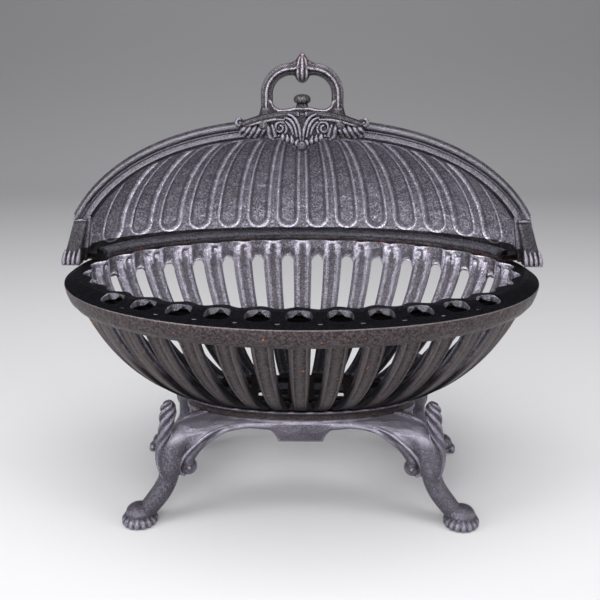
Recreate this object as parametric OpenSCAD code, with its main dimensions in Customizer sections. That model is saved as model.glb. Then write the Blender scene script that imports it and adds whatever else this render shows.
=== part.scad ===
// Oval fire basket with a lift-off dome back, cast iron.
// X runs along the length, -Y is the front, Z is up, and the floor is Z = 0.

/* [Stand] */
// Height of the stand, floor to the top of its seat ring
stand_h = 106; // [90:1:130]
// Length of the seat ring, end to end
ring_l = 233; // [220:1:250]
// Depth of the seat ring, front to back
ring_d = 94; // [88:1:104]
// Wall of the seat ring
ring_wall = 6; // [5:0.5:7]
// Depth of the seat below the top of the ring
seat_depth = 8; // [6:0.5:10]
// Width of the ledge that the bowl rests on
seat_ledge = 10; // [8:0.5:12]
// Thickness of the deck that joins the ring to the legs
deck_t = 5; // [4.5:0.5:8]
// Distance between the left and right feet
foot_span = 318; // [300:1:340]
// Distance between the front and rear feet
foot_depth = 150; // [136:1:170]
// Radius of the heel of a paw foot
foot_r = 14; // [12:0.5:16]
// Radius of a leg at the ankle
ankle_r = 8.5; // [7:0.5:10]
// Radius of a leg at the knee
knee_r = 14; // [12:0.5:16]
// Thickness of the front and rear aprons
apron_t = 8; // [6:0.5:10]
// Drop of the tab in the middle of an apron, below the deck
tab_drop = 14; // [8:0.5:16]
// Length of that tab
tab_l = 44; // [36:1:56]
// Rise of the knee leaf above the seat ring
leaf_rise = 22; // [16:1:26]
// Radius of the scroll ball inside each knee
scroll_r = 8; // [7:0.2:9]

/* [Fire bowl] */
// Length of the rim, end to end
rim_l = 464; // [440:1:500]
// Depth of the rim, front to back
rim_d = 320; // [300:1:350]
// Height of the bowl, from its seat to the top of the rim
bowl_h = 142; // [130:1:160]
// Width of the rim at the front and back
rim_w_front = 40; // [36:1:46]
// Width of the rim at the two ends
rim_w_end = 21; // [20:0.5:26]
// Fall of the rim's outer part
rim_fall = 6; // [3:0.5:8]
// Width of the rim's level inner land, which the hood stands on
rim_land = 12; // [9:0.5:14]
// Height of the outer band under the rim's edge
band_h = 20; // [16:0.5:23]
// How far the band leans in, from its top to its bottom
band_lean = 8; // [4:0.5:9]
// Thickness of that band
band_t = 6; // [4.5:0.5:7]
// Thickness of the rim between the band and the collar
rim_t = 8; // [6:0.5:10]
// Height of the collar at the top of the slots
collar_h = 15; // [12:0.5:18]
// How far the rim swells inward over each bar
scallop = 3.3; // [1.5:0.1:4]
// Number of bars round the bowl
bar_count = 32; // [28:4:36]
// Width of a bar's outer face under the rim
bar_face = 16.5; // [13:0.5:18]
// Width across a bar's shoulders under the rim
bar_w = 22; // [19:0.5:24]
// Depth of a bar from its face to its inner ridge
bar_d = 13; // [10:0.5:15]
// Width of a bar at its foot, as a share of the width at its top
bar_taper = 0.6; // [0.5:0.05:0.75]
// Length of a draught hole in the rim
hole_l = 21; // [16:0.5:24]
// Width of a draught hole at the front and back, across the rim
hole_w = 20; // [15:0.5:22]
// Draught holes along the front, and along the back
hole_count = 11; // [7:2:11]
// Height of the bowl's foot ring
foot_ring_h = 12; // [10:0.5:14]
// Wall of the foot ring
foot_ring_wall = 8; // [6:0.5:9]
// Running clearance of the bowl in the seat ring
seat_gap = 1; // [0.5:0.1:2]

/* [Bottom grate] */
// Thickness of the bottom grate
grate_t = 6; // [5:0.5:8]
// Width of the lip that carries the grate
grate_lip = 4; // [3:0.5:5]
// Thickness of that lip
grate_lip_t = 9; // [8.5:0.5:10]
// Clearance round the loose grate
grate_gap = 1; // [0.5:0.1:1.5]
// Number of slots in the grate
grate_slots = 9; // [7:2:11]
// Width of a grate slot
grate_slot_w = 11; // [8:0.5:12]
// Width of the frame round the grate's slots
grate_frame = 6; // [5:0.5:8]

/* [Hood] */
// Half length of the dome at its foot, to the middle of its wall
dome_a = 240; // [225:1:255]
// Depth of the dome at its foot, to the middle of its wall
dome_b = 130; // [124:1:134]
// Rise of the dome above the rim
dome_c = 143; // [120:1:165]
// Wall of the dome on a rib
dome_wall = 8; // [7:0.5:9]
// Fullness of the dome's ends, where 2 is a plain ellipse
dome_power = 2.35; // [2:0.05:2.8]
// Distance from the rim's long axis to the foot of the dome's mouth
mouth_y = 28; // [20:1:36]
// Lean of the mouth, in degrees from upright
mouth_lean = 12; // [6:1:16]
// Radius of the roll round the mouth
roll_r = 5; // [4:0.5:6]
// How far the roll stands outside the dome's wall
roll_out = 5.5; // [4:0.5:8]
// Panels across the inside of the dome
panel_count = 14; // [10:2:14]
// Width of the ribs between the panels
rib_w = 12.5; // [9:0.5:14]
// Depth of a panel
panel_sink = 2.2; // [1:0.1:3]
// Plain border between the panels and the mouth
panel_border = 13; // [9:1:18]
// Thickness of the hood's foot flange
flange_t = 6; // [5:0.5:8]
// Radius of the half-round moulding on the flange
moulding_r = 5.5; // [4.5:0.5:6.5]
// Radius of the two locating pegs
peg_r = 4.5; // [4:0.5:5]
// Length of the pegs below the flange
peg_l = 12; // [10:1:16]
// Bar that each peg stands over, counted from the middle of the back
peg_bar = 3; // [2:1:4]
// Width of a paw on the hood's end
paw_w = 22; // [18:0.5:24]
// Height of that paw
paw_h = 44; // [38:1:50]
// Depth of that paw
paw_d = 17; // [14:0.5:20]

/* [Handle] */
// Overall width of the handle
handle_w = 84; // [74:1:96]
// Height of the handle above its foot
handle_h = 60; // [54:1:68]
// Thickness of the handle's bow
handle_t = 12; // [10:0.5:14]
// Length of the handle's foot
handle_foot_l = 98; // [92:1:104]
// Width of the handle's foot
handle_foot_w = 20; // [18:1:22]
// Thickness of the handle's foot
handle_foot_t = 6; // [5:0.5:8]
// Radius of the fluted knop
knop_r = 8; // [6.5:0.5:9]
// Height of the knop
knop_h = 30; // [26:1:34]
// Thickness of the leaf crest
crest_t = 9; // [7:0.5:12]
// Half length of the leaf crest
crest_a = 66; // [58:1:72]
// Radius of the handle stud
stud_r = 3; // [2.5:0.25:3.5]
// Radius of the stud's neck, above the handle's bridge
stud_neck_r = 5; // [4.5:0.25:6]
// Radius of the stud's mushroom head
stud_head_r = 8.2; // [7:0.2:9]

/* [Fasteners] */
// Radius of the stand bolts
bolt_r = 3; // [2.5:0.5:4]
// Radius of the screws that hold the hood's paws
screw_r = 2.5; // [2:0.5:3]
// Radius of the rivets that hold the crest
rivet_r = 2.5; // [2:0.5:3]
// Clearance round every fastener in its hole
bolt_gap = 0.3; // [0.2:0.05:0.5]

/* [Hidden] */

// Face-to-face seats keep this much air between castings
seat_air = 0.3;
// Points round an oval outline
oval_n = 72;

ring_a = ring_l / 2;
ring_b = ring_d / 2;
seat_z = stand_h - seat_depth;
rim_z = seat_z + bowl_h;
rim_a = rim_l / 2;
rim_b = rim_d / 2;
ledge_a = ring_a - ring_wall - seat_ledge;
ledge_b = ring_b - ring_wall - seat_ledge;
foot_ring_a = ring_a - ring_wall - seat_gap;
foot_ring_b = ring_b - ring_wall - seat_gap;
inner_a = rim_a - rim_w_end;
inner_b = rim_b - rim_w_front;

// A point of an oval: angle 0 is the front, 90 the right end, 180 the back
function oval_point(angle, a, b) = [a * sin(angle), -b * cos(angle)];
function oval_points(a, b, n = oval_n) = [for (i = [0 : n - 1]) oval_point(i * 360 / n, a, b)];
function mix(low, high, share) = low + (high - low) * share;
function power(value, exponent) = sign(value) * pow(abs(value), exponent);

// Equal steps along the rim's inner edge, looked up as angles
arc_step = 0.5;
arc_table = [for (i = 0, run = 0; i <= 360 / arc_step;
        run = run + norm(oval_point((i + 1) * arc_step, inner_a, inner_b)
            - oval_point(i * arc_step, inner_a, inner_b)), i = i + 1)
    [run, i * arc_step]];
rim_run = arc_table[len(arc_table) - 1][0];
function bar_angle(k) = k < 0 ? -bar_angle(-k) : lookup(k * rim_run / bar_count, arc_table);

// A closed solid through equal rings of points, with both ends capped or joined round
module skin(rings, loop = false) {
    rows = len(rings);
    cols = len(rings[0]);
    points = [for (ring = rings) each ring];
    last = loop ? rows - 1 : rows - 2;
    sides = [for (i = [0 : last], j = [0 : cols - 1])
        let (i2 = (i + 1) % rows, j2 = (j + 1) % cols)
        each [[i * cols + j, i * cols + j2, i2 * cols + j2],
            [i * cols + j, i2 * cols + j2, i2 * cols + j]]];
    caps = loop ? [] : [[for (j = [cols - 1 : -1 : 0]) j],
        [for (j = [0 : cols - 1]) (rows - 1) * cols + j]];
    polyhedron(points = points, faces = concat(sides, caps), convexity = 8);
}

// Rings of a round bar that follows points, each with its own radius
function tube_ring(point, along, radius, n) =
    let (d = along / norm(along), side = cross(d, [0, 0, 1]),
        u = norm(side) < 0.05 ? [1, 0, 0] : side / norm(side), v = cross(u, d))
    [for (j = [0 : n - 1]) point + radius * (cos(j * 360 / n) * u + sin(j * 360 / n) * v)];
function tube_rings(points, radii, n = 12) = [for (i = [0 : len(points) - 1])
    tube_ring(points[i], points[min(i + 1, len(points) - 1)] - points[max(i - 1, 0)],
        radii[i], n)];

// Stand: two like castings, bolted together at the ends of the ring
apron_y = -ring_b - 2;
knee_x = foot_span / 2 - 39;
knee_y = -foot_depth / 2 + 17;
foot_x = foot_span / 2;
foot_y = -foot_depth / 2;
deck_z = seat_z - deck_t;
lug_t = 8;
lug_x = ring_a - 10;
lug_z = deck_z - 10;
lug_r = 9;

// Centre line of the right front leg, from inside the ring down to the heel
leg_points = [
    [ring_a - 14, -ring_b + 24, deck_z - 4],
    [mix(ring_a, knee_x, 0.2) - 6, mix(-ring_b, knee_y, 0.2) + 4, deck_z - 3],
    [knee_x - 2, knee_y, deck_z - 8],
    [knee_x + 5, knee_y - 7, deck_z - 20],
    [knee_x + 8, knee_y - 13, deck_z - 34],
    [mix(knee_x, foot_x, 0.3), mix(knee_y, foot_y, 0.7), deck_z - 48],
    [mix(knee_x, foot_x, 0.47), mix(knee_y, foot_y, 0.76), deck_z - 61],
    [mix(knee_x, foot_x, 0.7), mix(knee_y, foot_y, 0.86), foot_r + 2],
    [foot_x - 4, foot_y, foot_r - 7]];
leg_radii = [7, knee_r - 4, knee_r, knee_r - 1, knee_r - 3, ankle_r + 0.5, ankle_r, ankle_r + 1,
    ankle_r + 1];
leg_sides = 8;

// Height of the apron's lower edge at a distance from the middle
arch_z = deck_z;
tab_slope = 9;
spring_x = knee_x - scroll_r - 3;
spring_z = deck_z - 28;
apron_end = spring_x + 10;
arch_run = 28;
arch_flat = tab_l / 2 + arch_run;
function apron_low(x) =
    x <= tab_l / 2 ? deck_z - tab_drop
    : x <= tab_l / 2 + tab_slope
        ? mix(deck_z - tab_drop, arch_z - 2, pow((x - tab_l / 2) / tab_slope, 0.6))
    : x <= arch_flat ? mix(arch_z - 2, arch_z, (x - tab_l / 2 - tab_slope) / (arch_run - tab_slope))
    : arch_z - (arch_z - spring_z) * pow((x - arch_flat) / (spring_x - arch_flat), 2);
apron_xs = [for (i = [0 : 1]) i * tab_l / 2,
    for (i = [1 : 3]) tab_l / 2 + tab_slope * i / 3,
    for (i = [1 : 9]) mix(tab_l / 2 + tab_slope, apron_end, i / 9)];

// How far a place along the apron has gone from its flat middle to the leg
function apron_share(x) = pow(max(0, min(1, (x - arch_flat) / (spring_x - arch_flat))), 1.4);
function apron_ring_y(x) = -ring_b * sqrt(1 - pow(min(x / ring_a, 0.97), 2));

// Past this place its top line leaves the ring and swings out to the knee
swing_x = ring_a - 26;
function swing(x) = pow(max(0, (x - swing_x) / (apron_end - swing_x)), 1.5);

// Section across the apron: its face, the shoulder up to the ring, and the underside
function apron_section(x) =
    let (far = abs(x), share = apron_share(far), front = mix(apron_y - 2, knee_y - 8.7, share),
        low = apron_low(min(far, spring_x)), shoulder = mix(deck_z + 3, deck_z - 11, share),
        away = swing(far), top = mix(apron_ring_y(far) + 1.5, knee_y + 1, away),
        top_z = mix(seat_z - 1, deck_z - 3, away))
    [for (p = [[front, low], [front, shoulder], [top, top_z], [top + 4, top_z],
        [top + 4, top_z - 3], [front + apron_t, max(shoulder - 6, low + 1)],
        [front + apron_t, low]]) [x, p[0], p[1]]];

module deck_plan() {
    intersection() {
        difference() {
            polygon(oval_points(ring_a + 1.5, ring_b + 1.5));
            polygon(oval_points(ledge_a, ledge_b));
        }
        translate([-ring_l, -ring_d]) square([2 * ring_l, ring_d]);
    }
}

module half_ring() {
    linear_extrude(deck_t) deck_plan();
    translate([0, 0, deck_t]) linear_extrude(seat_depth) intersection() {
        difference() {
            polygon(oval_points(ring_a, ring_b));
            polygon(oval_points(ring_a - ring_wall, ring_b - ring_wall));
        }
        translate([-ring_l, -ring_d]) square([2 * ring_l, ring_d]);
    }
}

module apron() {
    skin(concat([for (i = [len(apron_xs) - 1 : -1 : 1]) apron_section(-apron_xs[i])],
        [for (x = apron_xs) apron_section(x)]));
}

// Scroll strap along the arch, ending in the ball
strap_r = 3.2;
ball_point = [spring_x + 1, knee_y - 3, spring_z - 9];
strap_points = concat([for (i = [0 : 4]) let (x = mix(arch_flat + 6, spring_x, i / 4))
    [x, mix(apron_y - 1, ball_point[1] - 4, i / 4), apron_low(x) + 3]],
    [[spring_x + 6, ball_point[1] - 4, spring_z - 6]]);

module leg_scroll() {
    skin(tube_rings(strap_points, [for (p = strap_points) strap_r], 6));
    translate(ball_point) sphere(scroll_r, $fn = 12);
}

// Leaf that stands up outside the knee
leaf_w = 7;
leaf_points = [
    [knee_x + 17, knee_y - 8, deck_z - 30],
    [knee_x + 15, knee_y - 7, deck_z - 14],
    [knee_x + 11, knee_y - 7, deck_z + 4],
    [knee_x + 9, knee_y - 6, stand_h + leaf_rise - 11],
    [knee_x + 8, knee_y - 4, stand_h + leaf_rise - 4]];
leaf_radii = [2.5, 4.5, 5.5, leaf_w - 0.5, leaf_w - 3];

// Line of a toe: distance from the heel, height and radius, as shares of the heel's radius
toe_line = [[0.2, 0.52, 0.42], [0.55, 0.5, 0.43], [0.88, 0.4, 0.39], [1.1, 0.32, 0.3],
    [1.23, 0.26, 0.14]];
toe_turns = [-150, -114, -78, -42];

module paw_foot() {
    difference() {
        union() {
            translate([foot_x, foot_y, foot_r * 0.54]) sphere(foot_r, $fn = 12);
            translate([foot_x - 3, foot_y - 3, 0]) for (turn = toe_turns)
                skin(tube_rings([for (p = toe_line)
                    foot_r * [p[0] * cos(turn), p[0] * sin(turn), p[1]]],
                    [for (p = toe_line) foot_r * p[2]], 7));
            translate([foot_x - 2, foot_y - 2, 0])
                cylinder(h = foot_r * 0.4, r = foot_r * 0.95, $fn = 20);
        }
        translate([foot_x, foot_y, -foot_r]) cube([4 * foot_r, 4 * foot_r, 2 * foot_r], center = true);
    }
}

module leg() {
    skin(tube_rings(leg_points, leg_radii, leg_sides));
    skin(tube_rings(leaf_points, leaf_radii, 7));
    leg_scroll();
    paw_foot();
}

module half_stand() {
    difference() {
        union() {
            translate([0, 0, deck_z]) half_ring();
            apron();
            for (side = [0, 1]) mirror([side, 0, 0]) {
                leg();
                translate([lug_x, 0, lug_z]) rotate([90, 0, 0])
                    cylinder(h = lug_t, r = lug_r, $fn = 32);
                translate([lug_x - lug_r, -lug_t, lug_z]) cube([2 * lug_r, lug_t, deck_z - lug_z + 1]);
            }
        }
        // The bowl's foot ring drops through here onto the ledge
        translate([0, 0, seat_z]) linear_extrude(stand_h)
            polygon(oval_points(ring_a - ring_wall, ring_b - ring_wall));
        translate([0, 0, deck_z - stand_h]) linear_extrude(2 * stand_h)
            polygon(oval_points(ledge_a, ledge_b));
        for (side = [-1, 1])
            translate([side * lug_x, 1, lug_z]) rotate([90, 0, 0])
                cylinder(h = lug_t + 2, r = bolt_r + bolt_gap, $fn = 32);
        translate([-foot_span, 0, -1]) cube([2 * foot_span, ring_l, 2 * stand_h]);
    }
}

module stand_front() {
    color("dimgray") half_stand();
}

module stand_rear() {
    color("dimgray") mirror([0, 1, 0]) half_stand();
}

washer_t = 1.6;
bolt_head_h = 4;
bolt_nut_h = 5;
bolt_end = 2;

module stand_bolts() {
    color("darkslategray") for (side = [-1, 1])
        translate([side * lug_x, -lug_t, lug_z]) rotate([-90, 0, 0]) {
            translate([0, 0, -bolt_head_h]) cylinder(h = bolt_head_h, r = 1.8 * bolt_r, $fn = 6);
            cylinder(h = 2 * lug_t + washer_t + bolt_nut_h + bolt_end, r = bolt_r, $fn = 32);
        }
}

module stand_washers() {
    color("darkslategray") for (side = [-1, 1])
        translate([side * lug_x, lug_t, lug_z]) rotate([-90, 0, 0]) difference() {
            cylinder(h = washer_t, r = 2 * bolt_r, $fn = 32);
            translate([0, 0, -1]) cylinder(h = washer_t + 2, r = bolt_r + bolt_gap, $fn = 32);
        }
}

module stand_nuts() {
    color("darkslategray") for (side = [-1, 1])
        translate([side * lug_x, lug_t + washer_t, lug_z]) rotate([-90, 0, 0]) difference() {
            cylinder(h = bolt_nut_h, r = 1.9 * bolt_r, $fn = 6);
            translate([0, 0, -1]) cylinder(h = bolt_nut_h + 2, r = bolt_r + 0.05, $fn = 32);
        }
}

// Fire bowl: one casting of rim, bars and foot ring
collar_t = 7;
bar_top_z = rim_z - rim_t + 1;
bar_foot_z = seat_z + foot_ring_h - 4;
// How sharply the bowl's side turns, where 2 is a quarter circle
side_power = 1.6;
bar_steps = 7;
face_top_a = inner_a - scallop + bar_d + 2;
face_top_b = inner_b - scallop + bar_d;
face_foot_a = foot_ring_a - 3;
face_foot_b = foot_ring_b - 3;
bar_foot_d = foot_ring_wall;

// A point on a bar's outer face line: level 0 is under the rim, level 1 the foot ring
function face_point(angle, level) =
    let (u = pow(cos(90 * level), 2 / side_power), w = pow(sin(90 * level), 2 / side_power),
        plan = oval_point(angle, mix(face_foot_a, face_top_a, u), mix(face_foot_b, face_top_b, u)))
    [plan[0], plan[1], mix(bar_top_z, bar_foot_z, w)];

function bar_ring(angle, level) =
    let (here = face_point(angle, level),
        up = face_point(angle, max(level - 0.02, 0)) - face_point(angle, min(level + 0.02, 1)),
        flat = [inner_a * cos(angle), inner_b * sin(angle), 0],
        along = flat / norm(flat),
        rise = up / norm(up),
        inward0 = cross(along, rise),
        inward = inward0 / norm(inward0) * (cross(along, rise) * [here[0], here[1], 0] > 0 ? -1 : 1),
        taper = mix(1, bar_taper, level),
        depth = mix(bar_d, bar_foot_d, level),
        section = [[-bar_face / 2, 0], [bar_face / 2, 0], [bar_w / 2, 0.6 * depth], [0, depth],
            [-bar_w / 2, 0.6 * depth]])
    [for (p = section) here + along * p[0] * taper + inward * p[1]];

module bar(k) {
    skin([for (i = [0 : bar_steps]) bar_ring(bar_angle(k), i / bar_steps)]);
}

// Rim section: inset at the ends, inset at the front and back, height, share of the scallop
rim_section = [
    [0, 0, rim_z - rim_fall, 0],
    [rim_w_end - rim_land, rim_w_front - rim_land, rim_z, 0],
    [rim_w_end, rim_w_front, rim_z, 1],
    [rim_w_end - 1, rim_w_front - 1, rim_z - collar_h, 1],
    [rim_w_end - collar_t, rim_w_front - collar_t, rim_z - collar_h, 0],
    [band_t + 4, band_t + 4, rim_z - rim_fall - rim_t, 0],
    [band_t + band_lean, band_t + band_lean, rim_z - rim_fall - band_h + 1, 0],
    [band_lean, band_lean, rim_z - rim_fall - band_h, 0],
    [0.2 * band_lean, 0.2 * band_lean, rim_z - rim_fall - 0.45 * band_h, 0]];
rim_n = 4 * bar_count;

module rim() {
    skin([for (i = [0 : rim_n - 1])
        let (angle = bar_angle(i * bar_count / rim_n),
            swell = scallop * cos(360 * i * bar_count / rim_n))
        [for (p = rim_section)
            let (plan = oval_point(angle, rim_a - p[0] - p[3] * swell, rim_b - p[1] - p[3] * swell))
            [plan[0], plan[1], p[2]]]], loop = true);
}

// Draught holes: one over each bar, along the front and along the back
hole_inset_end = (rim_w_end - 1) / 2;
hole_inset_front = rim_w_front / 2 + 2;
hole_bars = [for (k = [-(hole_count - 1) / 2 : (hole_count - 1) / 2]) each [k, k + bar_count / 2]];
function hole_point(k) = oval_point(bar_angle(k), rim_a - hole_inset_end, rim_b - hole_inset_front);
function hole_turn(k) = let (angle = bar_angle(k))
    atan2(inner_b * sin(angle), inner_a * cos(angle));
function hole_share(k) = let (angle = bar_angle(k)) mix(0.62, 1, pow(abs(cos(angle)), 1.2));

module draught_hole(k) {
    point = hole_point(k);
    width = hole_w * hole_share(k);
    translate([point[0], point[1], rim_z - rim_fall - rim_t - 6]) rotate([0, 0, hole_turn(k)])
        linear_extrude(rim_t + rim_fall + 12)
            polygon([for (i = [0 : 11]) let (angle = i * 30 + 15)
                [hole_l / 2 * power(cos(angle), 0.8), width / 2 * power(sin(angle), 0.8)]]);
}

module foot_ring() {
    translate([0, 0, seat_z]) difference() {
        linear_extrude(foot_ring_h) polygon(oval_points(foot_ring_a, foot_ring_b));
        translate([0, 0, grate_lip_t]) linear_extrude(foot_ring_h)
            polygon(oval_points(foot_ring_a - foot_ring_wall, foot_ring_b - foot_ring_wall));
        translate([0, 0, -1]) linear_extrude(foot_ring_h) polygon(oval_points(
            foot_ring_a - foot_ring_wall - grate_lip, foot_ring_b - foot_ring_wall - grate_lip));
    }
}

module fire_bowl() {
    color("slategray") union() {
        difference() {
            union() {
                rim();
                for (k = [0 : bar_count - 1]) bar(k);
            }
            for (k = hole_bars) draught_hole(k);
            translate([0, 0, seat_z - bowl_h])
                linear_extrude(bowl_h + max(foot_ring_h, grate_lip_t + grate_t) + 1)
                polygon(oval_points(foot_ring_a - foot_ring_wall, foot_ring_b - foot_ring_wall));
            translate([0, 0, seat_z - bowl_h]) cube([2 * rim_l, 2 * rim_d, 2 * bowl_h + 2],
                center = true);
        }
        foot_ring();
    }
}

// Bottom grate: a loose slotted plate on the foot ring's lip
grate_a = foot_ring_a - foot_ring_wall - grate_gap;
grate_b = foot_ring_b - foot_ring_wall - grate_gap;
grate_z = seat_z + grate_lip_t;

module bottom_grate() {
    reach = grate_a - grate_frame - grate_slot_w / 2;
    color("dimgray") translate([0, 0, grate_z]) linear_extrude(grate_t) difference() {
        polygon(oval_points(grate_a, grate_b));
        for (i = [0 : grate_slots - 1])
            let (x = mix(-0.86 * reach, 0.86 * reach, i / (grate_slots - 1)),
                half = grate_b * sqrt(1 - pow((abs(x) + grate_slot_w / 2) / grate_a, 2)) - grate_frame)
            translate([x, 0]) square([grate_slot_w, 2 * half], center = true);
    }
}

// Hood: half a full-ended dome, cut by the leaning mouth
mouth_k = tan(mouth_lean);
flange_z = rim_z;

// Angle 0 is the middle of the back, and rises are angles above the rim
function dome_point(angle, rise, out) =
    let (a = dome_a + out, b = dome_b + out, c = dome_c + out, s = sin(angle))
    [a * power(s, 2 / dome_power) * pow(cos(rise), 2 / dome_power), b * cos(rise) * cos(angle),
        rim_z + c * sin(rise)];

// Rise at which a line up the dome meets the mouth
function mouth_rise(angle, out) =
    let (p = (dome_b + out) * cos(angle), q = mouth_k * (dome_c + out), r = norm([p, q]))
    mouth_y >= r ? 0 : max(0, acos(mouth_y / r) - atan2(q, p));
// The dome proper stops here, and a solid corner carries on to the paw
corner_y = 10;
end_angle = acos((mouth_y + corner_y) / (dome_b - dome_wall / 2));

// Panels keep the pitch of the bowl's slots, measured along the foot of the dome
foot_table = [for (i = 0, run = 0; i <= 90 / arc_step;
        run = run + norm(dome_point((i + 1) * arc_step, 0, -dome_wall / 2)
            - dome_point(i * arc_step, 0, -dome_wall / 2)), i = i + 1)
    [run, i * arc_step]];
panel_pitch = rim_run / bar_count;
panel_half = panel_count / 2;
function panel_edges(i) = [lookup(i * panel_pitch + rib_w / 2, foot_table),
    lookup((i + 1) * panel_pitch - rib_w / 2, foot_table)];
step_angle = 0.25;
half_columns = [for (i = [0 : panel_half - 1]) let (e = panel_edges(i))
    each [[e[0] - step_angle, 0], [e[0] + step_angle, 1],
        [e[1] - step_angle, 1], [e[1] + step_angle, 0]]];
outer_columns = let (last = half_columns[len(half_columns) - 1][0])
    [for (i = [1 : 4]) [mix(last, end_angle, i / 4), 0]];
right_columns = concat(half_columns, outer_columns);
columns = concat([for (i = [len(right_columns) - 1 : -1 : 0])
    [-right_columns[i][0], right_columns[i][1]]], [[0, 0]], right_columns);
// Rows up the dome as shares of its rise: share, and whether panels are sunk there
panel_low = 0.13;
function row_shares(angle) =
    let (top = 1 - panel_border / max(dome_c * sin(mouth_rise(angle, 0)), 2 * panel_border))
    concat([[0, 0], [panel_low - 0.01, 0], [panel_low + 0.01, 1]],
        [for (i = [1 : 3]) [mix(panel_low, top, i / 4), 1]],
        [[top - 0.01, 1], [top + 0.01, 0], [1, 0]]);

// Section of the wall along one column: up the outside, then down the inside
function dome_ring(column) =
    let (angle = column[0], half = dome_wall / 2, shares = row_shares(angle), n = len(shares))
    concat([for (s = shares) dome_point(angle, mouth_rise(angle, half) * s[0], half)],
        [for (i = [n - 1 : -1 : 0]) let (s = shares[i],
            out = -half + panel_sink * s[1] * column[1])
            dome_point(angle, mouth_rise(angle, out) * s[0], out)]);

module dome() {
    skin([for (i = [len(columns) - 1 : -1 : 0]) dome_ring(columns[i])]);
}

// The roll round the mouth, ending above the paws
roll_end = end_angle + 1;
roll_n = 30;
function roll_point(i) =
    let (angle = mix(-roll_end, roll_end, i / roll_n))
    dome_point(angle, mouth_rise(angle, roll_out), roll_out);

module roll() {
    points = [for (i = [0 : roll_n]) roll_point(i)];
    skin(tube_rings(points, [for (p = points) roll_r], 8));
}

// Web between the dome's wall and the roll
module roll_web() {
    skin([for (i = [0 : roll_n]) let (angle = mix(-roll_end, roll_end, i / roll_n),
            low = dome_point(angle, mouth_rise(angle, -1), -1),
            high = dome_point(angle, mouth_rise(angle, roll_out), roll_out),
            back = [0, 3.5, 0.7])
        [low - [0, 0.5, 0], high - [0, 0.5, 0], high + back, low + back]]);
}

// Foot flange, from the moulding to the dome's wall
function base_point(angle, out) = let (p = dome_point(angle, 0, out)) [p[0], p[1]];
mould_a = inner_a - 1;
mould_b = inner_b - 1;
mould_end = acos(mouth_y / mould_b);
plan_n = 20;

module flange() {
    translate([0, 0, flange_z]) linear_extrude(flange_t) polygon(concat(
        [for (i = [0 : plan_n]) base_point(mix(-end_angle, end_angle, i / plan_n), 0)],
        [for (i = [plan_n : -1 : 0]) let (turn = mix(-mould_end, mould_end, i / plan_n))
            [mould_a * sin(turn), mould_b * cos(turn)]]));
}

module moulding() {
    points = [for (i = [0 : plan_n]) let (turn = mix(-mould_end + 2, mould_end - 2, i / plan_n))
        [(mould_a + moulding_r) * sin(turn), (mould_b + moulding_r) * cos(turn),
            flange_z + moulding_r + 0.15]];
    skin(tube_rings(points, [for (p = points) moulding_r], 10));
}

// Solid corner between the dome's end and the paw
paw_x = dome_a - 10;
paw_z = rim_z + seat_air;
corner_d = corner_y + 4;
screw_z = rim_z + paw_h * 0.42;
function mouth_at(z) = mouth_y + mouth_k * (z - rim_z);

module end_block() {
    hull() {
        translate([paw_x - paw_w / 2 + 1, mouth_y, flange_z]) cube([paw_w - 4, corner_d, 1]);
        translate([paw_x - paw_w / 2 - 4, mouth_at(paw_z + paw_h), paw_z + paw_h - 1])
            cube([paw_w - 5, corner_d - 3, 1]);
    }
}

crown_pad_z = rim_z + dome_c * sin(mouth_rise(0, 0)) + 6;
crown_y = mouth_y + mouth_k * (crown_pad_z - rim_z) + handle_foot_w / 2 + roll_r + 0.5;
pad_t = 20;
peg_angle = bar_angle(bar_count / 2 - peg_bar);
peg_point = oval_point(peg_angle, rim_a - hole_inset_end, rim_b - hole_inset_front - 5);

// Level seat on the crown for the handle's foot, with a boss for the stud's nut
nut_z = crown_pad_z - 16;
washer_r = 2.1 * stud_r;

module crown_pad() {
    hull() {
        translate([-handle_foot_l / 2, crown_y - handle_foot_w / 2, crown_pad_z - 8])
            cube([handle_foot_l, handle_foot_w, 8]);
        translate([-handle_foot_l / 2 + 12, crown_y - handle_foot_w / 2 + 1, crown_pad_z - pad_t])
            cube([handle_foot_l - 24, handle_foot_w - 3, 1]);
    }
    translate([0, crown_y, crown_pad_z - pad_t - 7])
        cylinder(h = pad_t + 6, r = washer_r + 5, $fn = 20);
}

module stud_hole() {
    translate([0, crown_y, 0]) {
        translate([0, 0, nut_z - 1]) cylinder(h = pad_t, r = stud_r + bolt_gap, $fn = 20);
        translate([0, 0, nut_z - pad_t]) cylinder(h = pad_t, r = washer_r + 1.2, $fn = 20);
    }
}

// Frame that leans with the mouth, with its origin at the crown of the dome's wall
crown_z = rim_z + dome_c * sin(mouth_rise(0, 0));
module at_mouth(z) {
    translate([0, mouth_at(z), z]) rotate([-mouth_lean, 0, 0]) children();
}
crest_back = roll_r + seat_air;
rivet_x = 38;
rivet_z = 3;
rivet_l = crest_t + crest_back + 10;
screw_grip = 5; // how far the paw screws reach in front of the mouth's foot
screw_l = corner_d + screw_grip;

module rivet_holes() {
    for (side = [-1, 1]) at_mouth(crown_z) translate([side * rivet_x, rivet_l, rivet_z])
        rotate([90, 0, 0]) cylinder(h = 2 * rivet_l, r = rivet_r + bolt_gap, $fn = 20);
}

module screw_holes() {
    for (side = [-1, 1]) translate([side * (paw_x + 1), mouth_y + 2 * screw_l, screw_z])
        rotate([90, 0, 0])
            cylinder(h = 2 * screw_l + screw_grip + bolt_gap, r = screw_r + bolt_gap, $fn = 20);
}

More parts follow.
